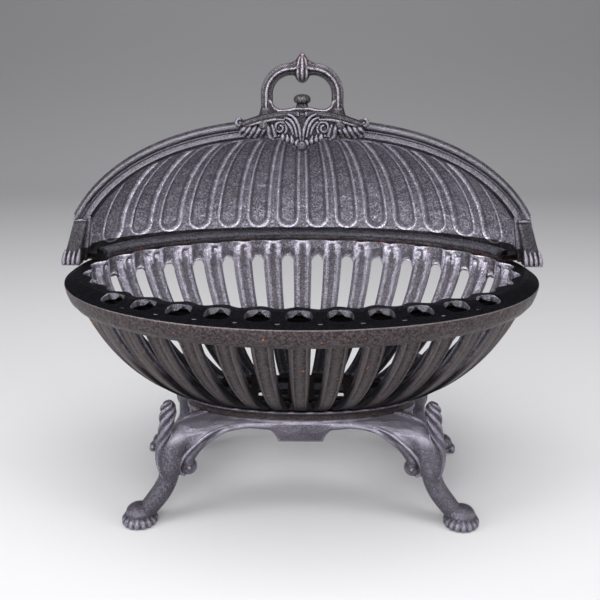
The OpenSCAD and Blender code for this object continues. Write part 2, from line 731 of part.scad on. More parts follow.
module hood_shell() {
    color("slategray") difference() {
        union() {
            dome();
            roll();
            roll_web();
            flange();
            moulding();
            crown_pad();
            for (side = [0, 1]) mirror([side, 0, 0]) {
                end_block();
                translate([peg_point[0], peg_point[1], flange_z - peg_l])
                    cylinder(h = peg_l + 2, r = peg_r, $fn = 20);
            }
        }
        translate([-rim_l, mouth_y - rim_d, rim_z - rim_d / 2])
            cube([2 * rim_l, rim_d, rim_d / 2 + 25]);
        for (side = [0, 1]) mirror([side, 0, 0]) {
            at_mouth(paw_z) translate([paw_x - paw_w, -2 * paw_d, -1])
                cube([2 * paw_w, 2 * paw_d, paw_h + 1 + seat_air]);
            translate([paw_x + 1, mouth_y + corner_d, screw_z]) rotate([-90, 0, 0])
                cylinder(h = 3 * corner_d, r = 2.1 * screw_r, $fn = 20);
        }
        rivet_holes();
        screw_holes();
        stud_hole();
    }
}

// Paw on each end of the hood
paw_toes = 4;
toe_r = paw_w / paw_toes / 2 + 0.4;

module hood_paw() {
    difference() {
        intersection() {
            at_mouth(paw_z) translate([paw_x - paw_w / 2, 0, 0]) {
                rotate([90, 0, 90]) linear_extrude(paw_w) polygon([[-seat_air, -paw_d],
                    [-seat_air, paw_h], [-paw_d * 0.52, paw_h], [-paw_d * 0.72, paw_h * 0.5],
                    [-paw_d * 0.85, paw_h * 0.22], [-paw_d * 0.85, -paw_d]]);
                for (i = [0 : paw_toes - 1])
                    translate([(i + 0.5) * paw_w / paw_toes, toe_r - paw_d, toe_r + 2])
                        sphere(toe_r, $fn = 24);
            }
            translate([0, mouth_y + rim_d / 2, 0]) rotate([90, 0, 0]) linear_extrude(rim_d)
                polygon([[paw_x - paw_w, paw_z], [paw_x + paw_w / 2 + 1, paw_z],
                    [paw_x + paw_w / 2 - 8, paw_z + paw_h + 2],
                    [paw_x - paw_w, paw_z + paw_h + 2]]);
        }
        screw_holes();
    }
}

module hood_paw_left() {
    color("slategray") mirror([1, 0, 0]) hood_paw();
}

module hood_paw_right() {
    color("slategray") hood_paw();
}

screw_head_h = 3.5;
module paw_screws() {
    color("darkslategray") for (side = [-1, 1])
        translate([side * (paw_x + 1), mouth_y + corner_d, screw_z]) rotate([90, 0, 0]) {
            translate([0, 0, -screw_head_h]) cylinder(h = screw_head_h, r = 1.8 * screw_r, $fn = 32);
            cylinder(h = screw_l, r = screw_r, $fn = 32);
        }
}

// Leaf crest over the crown, riveted to the mouth
crest_top = 20;
crest_half = [[0, crest_top], [0.12, crest_top - 1], [0.2, crest_top - 4], [0.38, crest_top - 3],
    [0.6, crest_top - 5], [0.84, crest_top - 10], [0.94, crest_top - 9], [1, crest_top - 13],
    [1, crest_top - 19], [0.92, crest_top - 22], [0.86, crest_top - 28], [0.76, crest_top - 32],
    [0.64, crest_top - 32], [0.58, crest_top - 29], [0.52, crest_top - 34], [0.41, crest_top - 34],
    [0.33, crest_top - 30], [0.21, crest_top - 37], [0.1, crest_top - 41], [0, crest_top - 42]];

// Round bosses on its leaves: share of its half length, height, radius
crest_bosses = [[0, -12, 6], [0.36, -2, 6], [0.48, -7, 5], [0.94, 4, 4]];

module leaf_crest() {
    color("dimgray") difference() {
        at_mouth(crown_z) {
            translate([0, -crest_back, 0]) rotate([90, 0, 0]) linear_extrude(crest_t)
                polygon(concat([for (p = crest_half) [p[0] * crest_a, p[1]]],
                    [for (i = [len(crest_half) - 2 : -1 : 1])
                        [-crest_half[i][0] * crest_a, crest_half[i][1]]]));
            for (boss = crest_bosses, side = [-1, 1])
                translate([side * crest_a * boss[0], 1 - crest_back - crest_t, boss[1]])
                    sphere(boss[2], $fn = 32);
        }
        rivet_holes();
    }
}

module crest_rivets() {
    color("dimgray") for (side = [-1, 1]) at_mouth(crown_z)
        translate([side * rivet_x, -crest_back - crest_t, rivet_z]) rotate([-90, 0, 0]) {
            translate([0, 0, -1.6]) cylinder(h = 1.6, r1 = rivet_r, r2 = 1.7 * rivet_r, $fn = 32);
            cylinder(h = rivet_l - 3, r = rivet_r, $fn = 32);
        }
}

// Handle: a stirrup bow with a knop, on a foot that sits on the crown pad
handle_z = crown_pad_z;
bow_r = handle_t / 2 + 0.2;
leg_x = handle_w / 2 - bow_r;
bow_turn = 27;
bow_z = handle_z + handle_h - bow_r - bow_turn;
bridge_h = 10;

module handle() {
    color("slategray") difference() {
        union() {
            translate([0, crown_y, handle_z]) linear_extrude(handle_foot_t) {
                square([handle_foot_l - handle_foot_w, handle_foot_w], center = true);
                for (side = [-1, 1]) translate([side * (handle_foot_l - handle_foot_w) / 2, 0])
                    circle(r = handle_foot_w / 2, $fn = 48);
            }
            translate([-leg_x, crown_y - handle_t * 0.45, handle_z + handle_foot_t - 0.5])
                cube([2 * leg_x, handle_t * 0.9, bridge_h]);
            for (side = [-1, 1]) {
                translate([side * leg_x, crown_y, handle_z + 1]) cylinder(h = bow_z - handle_z - 1,
                    r = bow_r, $fn = 48);
                translate([side * leg_x, crown_y, handle_z + handle_foot_t - 0.5])
                    cylinder(h = 9, r1 = bow_r + 2.6, r2 = bow_r, $fn = 48);
            }
            for (side = [0, 1]) mirror([side, 0, 0]) translate([leg_x - bow_turn, crown_y, bow_z])
                rotate([90, 0, 0]) rotate_extrude(angle = 90, $fn = 64)
                    translate([bow_turn, 0]) circle(r = bow_r, $fn = 48);
            translate([bow_turn - leg_x, crown_y, bow_z + bow_turn]) rotate([0, 90, 0])
                cylinder(h = 2 * (leg_x - bow_turn), r = bow_r, $fn = 48);
            translate([0, crown_y, handle_z + handle_h + 8]) rotate_extrude($fn = 48)
                polygon([[0, 0], [0.25 * knop_r, -0.04 * knop_h], [0.4 * knop_r, -0.16 * knop_h],
                    [0.95 * knop_r, -0.3 * knop_h], [knop_r, -0.5 * knop_h],
                    [0.95 * knop_r, -0.7 * knop_h], [0.45 * knop_r, -0.88 * knop_h],
                    [0.3 * knop_r, -0.98 * knop_h], [0, -knop_h]]);
        }
        translate([0, crown_y, handle_z - 1])
            cylinder(h = handle_foot_t + bridge_h + 4, r = stud_r + bolt_gap, $fn = 32);
    }
}

// Stud with a mushroom head, from above the handle's bridge down through the crown
stud_seat = handle_z + handle_foot_t + bridge_h - 0.5;
stud_washer_t = 1.6;
stud_nut_h = 5;
stud_end = nut_z - stud_washer_t - stud_nut_h - 2;

module handle_stud() {
    color("slategray") translate([0, crown_y, 0]) {
        translate([0, 0, stud_end]) cylinder(h = stud_seat - stud_end + 1, r = stud_r, $fn = 32);
        translate([0, 0, stud_seat]) rotate_extrude($fn = 48)
            polygon([[0, 0], [stud_neck_r, 0], [stud_neck_r - 0.5, 4.5],
                [stud_head_r * 0.9, 5.5], [stud_head_r, 7.5], [stud_head_r * 0.94, 10.5],
                [stud_head_r * 0.6, 13], [0, 14]]);
    }
}

module handle_washer() {
    color("darkslategray") translate([0, crown_y, nut_z - stud_washer_t]) difference() {
        cylinder(h = stud_washer_t, r = washer_r, $fn = 48);
        translate([0, 0, -1]) cylinder(h = stud_washer_t + 2, r = stud_r + bolt_gap, $fn = 32);
    }
}

module handle_nut() {
    color("darkslategray") translate([0, crown_y, nut_z - stud_washer_t - stud_nut_h]) difference() {
        cylinder(h = stud_nut_h, r = 1.9 * stud_r, $fn = 6);
        translate([0, 0, -1]) cylinder(h = stud_nut_h + 2, r = stud_r + 0.05, $fn = 32);
    }
}

stand_front();
stand_rear();
stand_bolts();
stand_washers();
stand_nuts();
fire_bowl();
bottom_grate();
hood_shell();
hood_paw_left();
hood_paw_right();
paw_screws();
leaf_crest();
crest_rivets();
handle();
handle_stud();
handle_washer();
handle_nut();
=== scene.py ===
import math

import bmesh
import bpy
import numpy as np
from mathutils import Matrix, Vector


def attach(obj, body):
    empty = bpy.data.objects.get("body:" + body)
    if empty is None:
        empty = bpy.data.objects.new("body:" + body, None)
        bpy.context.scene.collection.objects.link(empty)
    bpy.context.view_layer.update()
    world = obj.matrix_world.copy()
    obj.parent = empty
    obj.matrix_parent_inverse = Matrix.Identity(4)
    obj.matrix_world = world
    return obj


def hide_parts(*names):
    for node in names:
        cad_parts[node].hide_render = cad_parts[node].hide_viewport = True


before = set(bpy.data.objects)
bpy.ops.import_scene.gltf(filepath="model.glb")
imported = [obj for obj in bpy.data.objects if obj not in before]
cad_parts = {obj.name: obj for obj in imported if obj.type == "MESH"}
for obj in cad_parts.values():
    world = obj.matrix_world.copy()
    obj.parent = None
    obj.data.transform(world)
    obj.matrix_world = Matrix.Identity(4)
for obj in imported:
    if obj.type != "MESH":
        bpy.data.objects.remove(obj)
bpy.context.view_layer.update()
MM = 0.001


# ---- Camera: a level shot from the front, a little above the rim, with the whole basket in a
# square picture. It stands 0.82 m off and looks down 18 degrees.
def added(name, data):
    """A new object of the scene."""
    made = bpy.data.objects.new(name, data)
    bpy.context.scene.collection.objects.link(made)
    return made


lens = bpy.data.cameras.new("camera")
lens.sensor_width, lens.lens, lens.clip_start = 36, 51.6, 0.05
camera = added("camera", lens)
camera.location = (0.01035, -0.8186, 0.4752)
camera.rotation_euler = (math.radians(71.90), 0, math.radians(0.81))
bpy.context.scene.camera = camera


# ---- Studio: a pale paper sweep under and behind the basket, lit by one large soft box over it,
# one to each side and two in front. To camera and metal the paper is painted greyer towards the
# back, a painted shade.
class Wire:
    """An output socket. Arithmetic on it adds Math nodes to its tree."""

    def __init__(self, tree, socket):
        self.tree = tree
        self.socket = socket

    def math(self, operation, *values):
        return self.tree.node("ShaderNodeMath", {"operation": operation}, dict(enumerate(values)))

    def step(self, low, high):
        """0 below low, 1 above high, and smooth between."""
        return self.tree.node("ShaderNodeMapRange", {"interpolation_type": "SMOOTHSTEP"},
                              {"Value": self, "From Min": low, "From Max": high}, "Result")

    def __add__(self, other):
        return self.math("ADD", self, other)

    def __sub__(self, other):
        return self.math("SUBTRACT", self, other)

    def __rsub__(self, other):
        return self.math("SUBTRACT", other, self)

    def __mul__(self, other):
        return self.math("MULTIPLY", self, other)

    __radd__ = __add__
    __rmul__ = __mul__


class Tree:
    """A node tree. node() adds any node: its settings first, then its sockets."""

    def __init__(self, tree):
        self.tree = tree

    def node(self, kind, settings=None, sockets=None, out=0):
        made = self.tree.nodes.new(kind)
        for name, value in (settings or {}).items():
            setattr(made, name, value)
        for name, value in (sockets or {}).items():
            if isinstance(value, Wire):
                self.tree.links.new(value.socket, made.inputs[name])
            else:
                made.inputs[name].default_value = value
        return Wire(self, made.outputs[out]) if made.outputs else made

    def blend(self, share, first, second):
        """A colour between two colours."""
        return self.node("ShaderNodeMix", {"data_type": "RGBA"},
                         {0: share, 6: first, 7: second}, 2)

    def noise(self, place, scale, detail=2.0, roughness=0.5):
        return self.node("ShaderNodeTexNoise", None, {"Vector": place, "Scale": scale,
                                                      "Detail": detail, "Roughness": roughness})

    def larger(self, first, second):
        return self.node("ShaderNodeMath", {"operation": "MAXIMUM"}, {0: first, 1: second})

    def vector(self, operation, first, second, out=0):
        return self.node("ShaderNodeVectorMath", {"operation": operation},
                         {0: first, 1: second}, out)

    def axis(self, vector, name):
        return self.node("ShaderNodeSeparateXYZ", None, {0: vector}, name)

    def coordinate(self, name):
        return self.node("ShaderNodeTexCoord", out=name)


def new_material(name):
    """An empty material and its tree."""
    material = bpy.data.materials.new(name)
    material.use_nodes = True
    material.node_tree.nodes.clear()
    return material, Tree(material.node_tree)


def tint(shade, factor=1):
    """A shade made lighter or darker, as a full colour."""
    return (*(min(1, c * factor) for c in shade), 1)


def paper(name, shade, shown):
    """Matt graded paper: its own shade for the object's light, the shown one, with a painted shade
    greyer towards the back and the top, to camera and metal."""
    material, tree = new_material(name)
    rays = tree.node("ShaderNodeLightPath").socket.node.outputs
    seen = tree.larger(Wire(tree, rays["Is Camera Ray"]), Wire(tree, rays["Is Glossy Ray"]))
    back = tree.vector("DOT_PRODUCT", tree.coordinate("Object"), (0.0, 1.0, 1.6), "Value")
    # Painted shade: the shown paper greys towards the back and the top
    painted_backdrop_shade = tree.blend(back.step(0.3, 3.2), tint(shown), tint(shown, 0.55))
    colour = tree.blend(seen, tint(shade), painted_backdrop_shade)
    matt = tree.node("ShaderNodeBsdfDiffuse", None, {"Color": colour})
    tree.node("ShaderNodeOutputMaterial", None, {"Surface": matt})
    return material


sweep_depth, sweep_rise, sweep_half, sweep_turn = 1.6, 3.2, 6.0, 0.9
profile = [(-4.0, 0.0), (sweep_depth, 0.0)]
profile += [(sweep_depth + sweep_turn * math.sin(a), sweep_turn * (1 - math.cos(a)))
            for a in np.radians(np.linspace(6, 90, 15))]
profile += [(sweep_depth + sweep_turn, sweep_rise)]
sweep_mesh = bpy.data.meshes.new("paper_sweep")
sweep_mesh.from_pydata([(x, y, z) for y, z in profile for x in (-sweep_half, sweep_half)], [],
                       [(2 * i, 2 * i + 1, 2 * i + 3, 2 * i + 2) for i in range(len(profile) - 1)])
sweep_mesh.shade_smooth()
sweep_mesh.materials.append(paper("pale_paper", (0.60, 0.60, 0.61), (0.565, 0.565, 0.575)))
sweep = added("paper_sweep", sweep_mesh)


def soft_box(name, place, aim, width, height, watts):
    """A rectangular area light that points at a place on the basket."""
    light = bpy.data.lights.new(name, "AREA")
    light.shape, light.size, light.size_y, light.energy = "RECTANGLE", width, height, watts
    lamp = added(name, light)
    lamp.location = place
    lamp.rotation_euler = (Vector(aim) - Vector(place)).to_track_quat("-Z", "Y").to_euler()


soft_box("box_over", (0.0, -0.35, 1.6), (0, 0, 0.2), 1.3, 0.9, 22)
soft_box("box_left", (-1.5, -0.7, 0.8), (0, 0, 0.2), 0.7, 1.2, 15)
soft_box("box_right", (1.5, -0.7, 0.8), (0, 0, 0.2), 0.7, 1.2, 13)
soft_box("box_front", (-0.15, -1.7, 1.0), (0, 0, 0.25), 0.9, 0.6, 15)
soft_box("box_low", (-0.45, -1.6, 0.32), (0, 0, 0.12), 0.8, 0.4, 6)
world = bpy.data.worlds.new("studio")
world.use_nodes = True
sky = world.node_tree.nodes["Background"].inputs
sky["Color"].default_value, sky["Strength"].default_value = (0.70, 0.70, 0.72, 1), 0.50
bpy.context.scene.world = world
bpy.context.scene.view_settings.view_transform = "Standard"


# ---- Stand: two like iron castings, front and rear, that meet under the ends of the seat ring.
# Sand cast and black-leaded: half the ring, an arched apron with a tab, and two cabriole legs
# with a scroll, a fluted leaf on the knee and a paw foot.
def smooth_path(points, count):
    """Rows on a smooth curve through the given rows; a radius column is carried along."""
    knots = np.asarray(points, float)
    knots = np.vstack([2 * knots[0] - knots[1], knots, 2 * knots[-1] - knots[-2]])
    rows = []
    for place in np.linspace(0, len(points) - 1, count):
        i = min(int(place), len(points) - 2)
        t = place - i
        a, b, c, d = knots[i:i + 4]
        rows.append(0.5 * (2 * b + (c - a) * t + (2 * a - 5 * b + 4 * c - d) * t * t
                           + (3 * b - a - 3 * c + d) * t ** 3))
    return np.array(rows)


def skin(rings, loop=False):
    """A closed surface through equal rings of points: its points and its faces."""
    rings = np.asarray(rings, float)
    rows, cols = rings.shape[:2]
    ids = np.arange(rows * cols).reshape(rows, cols)
    low, high = (ids, np.roll(ids, -1, 0)) if loop else (ids[:-1], ids[1:])
    faces = np.stack([low, np.roll(low, -1, 1), np.roll(high, -1, 1), high], -1)
    faces = faces.reshape(-1, 4).tolist()
    if not loop:
        faces += [ids[0][::-1].tolist(), ids[-1].tolist()]
    return rings.reshape(-1, 3), faces


def unit(vector):
    return vector / max(np.linalg.norm(vector), 1e-12)


def full_turn(sides):
    return np.linspace(0, 2 * math.pi, sides, endpoint=False)


def tube(path, sides=24, shape=None):
    """A bar along rows of x, y, z and radius. shape(turn, share) scales its radius."""
    path = np.asarray(path, float)
    along = np.gradient(path[:, :3], axis=0)
    side = unit(np.cross(unit(along[0]), (0.0, 0.3, 1.0)))
    turn = full_turn(sides)
    rings = []
    for i, row in enumerate(path):
        way = unit(along[i])
        side = unit(side - way * np.dot(side, way))
        up = np.cross(way, side)
        reach = row[3] * (shape(turn, i / (len(path) - 1)) if shape else np.ones(sides))
        rings.append(row[:3] + reach[:, None] * (np.cos(turn)[:, None] * side
                                                 + np.sin(turn)[:, None] * up))
    return skin(rings)


def ball(centre, radii, sides=24, rows=14):
    """An egg-shaped lump: centre, and a radius or three radii."""
    radii = np.ones(3) * radii
    tilt = np.linspace(0.06, math.pi - 0.06, rows)
    turn = full_turn(sides)
    return skin([np.stack([np.sin(t) * np.cos(turn), np.sin(t) * np.sin(turn),
                           np.full(sides, -np.cos(t))], 1) * radii + centre for t in tilt])


def upright(x, y, rows, sides=32):
    """A turned shape on an upright axis, from rows of radius and height."""
    return skin([[(x + r * math.cos(a), y + r * math.sin(a), z) for a in full_turn(sides)]
                 for r, z in rows])


def level_bar(x, z, radius, ends, sides=32):
    """A round bar that runs from front to back."""
    return skin([[(x + radius * math.cos(a), y, z + radius * math.sin(a))
                  for a in full_turn(sides)] for y in ends])


def oval(turn, half_length, half_depth):
    """A point of an oval in degrees: 0 is the front, 90 the right end, 180 the back."""
    turn = np.radians(turn)
    return np.stack([half_length * np.sin(turn), -half_depth * np.cos(turn)], -1)


def raw_object(name, parts):
    """One mesh object of several closed surfaces, written in millimetres."""
    points, faces = [], []
    for part_points, part_faces in parts:
        start = sum(len(p) for p in points)
        points.append(np.asarray(part_points))
        faces += [[start + i for i in face] for face in part_faces]
    mesh = bpy.data.meshes.new(name)
    mesh.from_pydata(np.vstack(points) * MM, [], faces)
    made = added(name, mesh)
    work = bmesh.new()
    work.from_mesh(mesh)
    bmesh.ops.recalc_face_normals(work, faces=work.faces)
    work.to_mesh(mesh)
    work.free()
    return made


def settled(source, name):
    """A plain mesh object from one with live modifiers, which goes."""
    graph = bpy.context.evaluated_depsgraph_get()
    mesh = bpy.data.meshes.new_from_object(source.evaluated_get(graph))
    mesh.name = name
    bpy.data.objects.remove(source)
    return added(name, mesh)


def cast(name, parts, grain, rounds):
    """The parts run together as in a mould: one closed skin with soft edges and fillets."""
    source = raw_object(name, parts)
    remesh = source.modifiers.new("skin", "REMESH")
    remesh.mode, remesh.voxel_size = "VOXEL", grain * MM
    soft = source.modifiers.new("soft", "SMOOTH")
    soft.factor, soft.iterations = 0.5, rounds
    return settled(source, name)


def mark_proudness(piece, reach, rounds=3):
    """Stores how proud each place is for polish and painted highlights: 0.5 flat, 1 a sharp edge.
    """
    mesh = piece.data
    count = len(mesh.vertices)
    place, normal = np.empty(count * 3), np.empty(count * 3)
    mesh.vertices.foreach_get("co", place)
    mesh.vertices.foreach_get("normal", normal)
    edges = np.empty(len(mesh.edges) * 2, int)
    mesh.edges.foreach_get("vertices", edges)
    place, normal, edges = place.reshape(-1, 3), normal.reshape(-1, 3), edges.reshape(-1, 2)
    ends = np.concatenate([edges, edges[:, ::-1]])
    share = np.maximum(np.bincount(ends[:, 0], minlength=count), 1)

    def around(values):
        return np.stack([np.bincount(ends[:, 0], values[ends[:, 1], i], count) / share
                         for i in range(values.shape[1])], 1)

    broad = place
    for _ in range(rounds):
        broad = around(broad)
    proud = ((place - broad) * normal).sum(1) / (reach * MM)
    for _ in range(2):
        proud = 0.5 * proud + 0.5 * around(proud[:, None])[:, 0]
    wear = mesh.attributes.new("wear", "FLOAT", "POINT")
    wear.data.foreach_set("value", np.clip(0.5 + proud, 0, 1).astype(np.float32))


def coat(piece, material, reach=None, rounds=3, sharp=None):
    """Gives a finished piece its one material, its proudness and its smooth shading."""
    piece.data.materials.clear()
    piece.data.materials.append(material)
    if reach:
        mark_proudness(piece, reach, rounds)
    piece.data.shade_smooth()
    if sharp:
        piece.data.set_sharp_from_angle(angle=math.radians(sharp))


def mirrored(piece, name, axis):
    """A mirrored copy of a finished piece, with its faces outward again."""
    made = added(name, piece.data.copy())
    for vertex in made.data.vertices:
        vertex.co[axis] = -vertex.co[axis]
    made.data.flip_normals()
    return made


ring_a, ring_b, ring_wall, ledge = 116.5, 47.0, 6.0, 16.0
deck_z, seat_z = 93.0, 98.0
knee_y, foot_x, foot_y = -58.0, 159.0, -75.0
tab_half, tab_slope, tab_low, arch_start, arch_top = 23.0, 7.0, 75.6, 50.0, 90.0
spring_x, spring_z, apron_end = 109.0, 65.0, 119.0
over = 4.0   # the halves are made this far past their joint, and cut there


def arch_height(x):
    """The lower edge of the apron: the tab, its slope, and the arch down to the scroll."""
    if x <= tab_half:
        return tab_low
    if x <= tab_half + tab_slope:
        return tab_low + (arch_top - 2 - tab_low) * ((x - tab_half) / tab_slope) ** 0.5
    if x <= arch_start:
        return arch_top - 2 + 2 * (x - tab_half - tab_slope) / (arch_start - tab_half - tab_slope)
    return arch_top - (arch_top - spring_z) * ((x - arch_start) / (spring_x - arch_start)) ** 2.5


def apron_section(x):
    """Across the apron: its full face, the round shoulder up to the ring, and the underside."""
    far = abs(x)
    share = min(max((far - arch_start) / (spring_x - arch_start), 0), 1) ** 1.3
    away = max(0, (far - ring_a + 26) / (apron_end - ring_a + 26)) ** 1.5
    front = -ring_b - 4 + share * (knee_y - 9.5 + ring_b + 4)
    low = arch_height(min(far, spring_x))
    shoulder = deck_z + 1.5 - 3.5 * share
    ring_y = -ring_b * math.sqrt(1 - min(far / ring_a, 0.97) ** 2)
    top = (ring_y + 1.5) * (1 - away) + (knee_y + 10) * away
    top_z = seat_z - 1 + 1.5 * share
    back = max(shoulder - 6, low + 1)
    bow = 0.6 + 3.0 * share
    return [(x, y, z) for y, z in (
        (front + 0.8, low), (front, low + 1.5), (front - bow, low * 0.45 + shoulder * 0.55),
        (front + 0.4, shoulder - 0.5), (front * 0.84 + top * 0.16, shoulder + 2.8 * share + 0.9),
        (front * 0.55 + top * 0.45, shoulder * 0.25 + top_z * 0.75 + 1.2 * share), (top, top_z),
        (top + 4, top_z), (top + 4, top_z - 3), (front + 8, back), (front + 8, low))]


ring_section = [(-1.5, 93), (-1.5, 97.3), (-1.0, 98.2), (-0.1, 98.9), (0, 99.6), (0, 103.2),
                (-0.8, 103.9), (-1.1, 104.9), (-0.7, 105.8), (0.3, 106), (ring_wall - 0.6, 106),
                (ring_wall, 105.4), (ring_wall, seat_z), (ledge - 0.6, seat_z),
                (ledge, seat_z - 0.6), (ledge, 93)]
turns = np.linspace(-94, 94, 180)
stand_parts = [
    skin([[(*oval(t, ring_a - inset, ring_b - inset), z) for inset, z in ring_section]
          for t in turns]),
    skin([apron_section(x) for x in np.linspace(-apron_end, apron_end, 240)])]


def flutes(turn, share):
    """The diagonal flutes of the knee leaf, which die away towards its stem."""
    deep = 0.36 * min(max((share - 0.30) / 0.25, 0), 1) * min((1 - share) / 0.08, 1)
    return 1 + deep * (np.abs(np.sin(2.5 * turn + 24 * share)) - 0.66)


def leg_bow(turn, share):
    """A leg is a little deeper than it is wide."""
    return 1 + 0.04 * np.cos(2 * turn)


foot_mid = foot_y - 1
half = [tube(smooth_path(rows, count), sides, shape) for count, sides, shape, rows in (
    # The leg, and the ridge from it up to the ring
    (60, 28, leg_bow, [
        (102.5, -23, 89, 7), (111, -45, 89, 10), (118, -58, 84, 13.5), (125, -65, 73, 13),
        (127.5, -70, 60, 11.2), (130, -70, 46, 9.6), (135.5, -71, 34, 9.6), (145, -73, 21, 9.4),
        (154, -75, 10, 8.6)]),
    (30, 12, None, [
        (94, -29, 98.5, 1.0), (101, -33, 99.5, 1.7), (110, -40, 99.6, 1.9), (119, -49, 98, 1.7),
        (126, -58, 93, 0.8)]),
    # The leaf on the knee
    (130, 60, flutes, [
        (134, -79, 50, 0.6), (137.5, -75, 59, 2.0), (138, -71, 69, 3.6), (135, -68, 82, 5.4),
        (131, -67, 97, 6.4), (128.5, -65, 110, 7.4), (127.5, -63, 118.5, 7.2),
        (127, -61.5, 124, 4.2), (127, -61, 126, 0.6)]),
    # The scroll under the apron: its strap, the thin line that runs over it, and its root
    (60, 16, None, [
        (62, -52, 93, 0.8), (74, -56, 90.5, 2.2), (88, -60, 83.5, 2.8), (99, -63, 75, 3.0),
        (106, -66, 66, 3.2), (110, -68, 58, 4.2), (109, -66, 53, 3.0)]),
    (60, 14, None, [
        (72, -54.5, 95, 0.6), (88, -62, 90.5, 1.5), (101, -69, 82.5, 1.8), (111, -73, 73, 1.9),
        (117, -74.5, 63, 1.9), (117.5, -73, 54, 1.8), (113, -70.5, 48.5, 1.2)]),
    (40, 16, None, [
        (84, -56, 88, 2.0), (96, -61, 81, 4.2), (105, -64, 73, 5.6), (110.5, -66, 63, 5.6),
        (111, -66, 55, 4.0)]))]
# The scroll's ball with its eye, and the foot with toes round it
half += [ball((110.5, -63, 55.5), (8.6, 9.0, 8.6)), ball((108.6, -71.2, 57.5), 2.0),
         ball((foot_x, foot_mid, 11.5), (13.6, 13.2, 9.6)),
         ball((foot_x, foot_mid, 5), (13.6, 13.6, 5.5))]
toe_line = ((6, 7, 2.6), (10.0, 7.0, 3.4), (12.8, 5.8, 4.0), (14.2, 3.9, 3.9), (14.6, 1.6, 3.1),
            (14.4, 0, 1.5))   # reach from the middle of the foot, height and radius
half += [tube(smooth_path([(foot_x + reach * math.cos(turn), foot_mid + reach * math.sin(turn),
                            z, r) for reach, z, r in toe_line], 14), 14)
         for turn in np.radians(np.arange(-200, 21, 22))]
# The lug for the bolt
half += [level_bar(106.5, 83, 9, (-8, over)),
         skin([[(97.5, y, 83), (115.5, y, 83), (115.5, y, 94), (97.5, y, 94)]
               for y in (-8, over)])]
stand_parts += [(np.asarray(points) * (side, 1, 1), faces)
                for side in (-1, 1) for points, faces in half]
stand = cast("stand_front_casting", stand_parts, 0.9, 3)


def trimmed(piece, place, away):
    """Cuts a closed piece flat at a place, in millimetres, and closes it there."""
    work = bmesh.new()
    work.from_mesh(piece.data)
    cut = bmesh.ops.bisect_plane(work, geom=work.verts[:] + work.edges[:] + work.faces[:],
                                 plane_co=Vector(place) * MM, plane_no=away, clear_outer=True)
    rim = [e for e in cut["geom_cut"] if isinstance(e, bmesh.types.BMEdge)]
    bmesh.ops.triangle_fill(work, edges=rim, use_beauty=True)
    bmesh.ops.recalc_face_normals(work, faces=work.faces)
    work.to_mesh(piece.data)
    work.free()
    return piece


# Cut where the halves meet, and level with the floor
trimmed(stand, (0, 0, 0), (0, 1, 0))
trimmed(stand, (0, 0, 0), (0, 0, -1))
leaded = 0.72   # how metallic black-leaded iron looks


def metal_surface(tree, colour, metal, roughness, strength, depth, relief):
    """Ends a tree in bare metal with its relief."""
    normal = tree.node("ShaderNodeBump", None, {"Strength": strength, "Distance": depth,
                                                "Height": relief})
    shader = tree.node("ShaderNodeBsdfPrincipled", None,
                       {"Base Color": colour, "Metallic": metal, "Roughness": roughness,
                        "Normal": normal})
    tree.node("ShaderNodeOutputMaterial", None, {"Surface": shader})


def grained_iron(name, shade, rough, wear_and_sheen=True, bright=1.9, finish=None, grain=540, coarse=1.0):
    """Black-leaded cast iron: sand grain with painted glints, uneven casting skin, and a polish
    with a painted highlight on proud edges.
    """
    material, tree = new_material(name)
    place = tree.coordinate("Object")
    sand = tree.noise(place, grain, 2.5, 0.65)
    patch = tree.noise(place, 22, 3.0, 0.6).step(0.35, 0.7)
    colour = tree.blend(patch, tint(shade, 0.80), tint(shade, 1.22))
    # Dark and light sand specks; the light ones are partly lighter grain, partly painted glints
    colour = tree.blend(sand.step(0.56, 0.36) * (0.70 * coarse), colour, tint(shade, 0.25))
    colour = tree.blend(sand.step(0.50, 0.66) * (0.65 * coarse), colour, tint(shade, 2.4))
    roughness = rough + 0.07 * (0.5 - patch) + 0.5 * coarse * (0.5 - sand)
    metal = leaded
    if wear_and_sheen:
        wear = tree.node("ShaderNodeAttribute", {"attribute_name": "wear"}, out="Fac")
        # Proud edges are lighter, rubbed black lead with a painted highlight on it; hollows are
        # darker
        edge, hollow = wear.step(0.60, 0.92), wear.step(0.42, 0.12)
        colour = tree.blend(edge * 0.9, colour, tint(shade, bright))
        colour = tree.blend(hollow * 0.75, colour, tint(shade, 0.35))
        roughness = roughness - 0.12 * edge + 0.16 * hollow
    if finish:
        colour, roughness, metal = finish(tree, place, colour, roughness)
    relief = (0.62 * sand + 0.22 * tree.noise(place, 2600, 1.0)
              + 2.2 * tree.noise(place, 75, 3.0, 0.55))
    metal_surface(tree, colour, metal, roughness, 0.9, 0.0014 * (0.4 + 0.6 * coarse), relief)
    return material


def oval_reach(tree, place, half_length, half_depth):
    """How far out a place lies, as a share of an oval's own reach there."""
    flat = tree.vector("MULTIPLY", place, (1000 / half_length, 1000 / half_depth, 0.0))
    return tree.node("ShaderNodeVectorMath", {"operation": "LENGTH"}, {0: flat}, "Value")


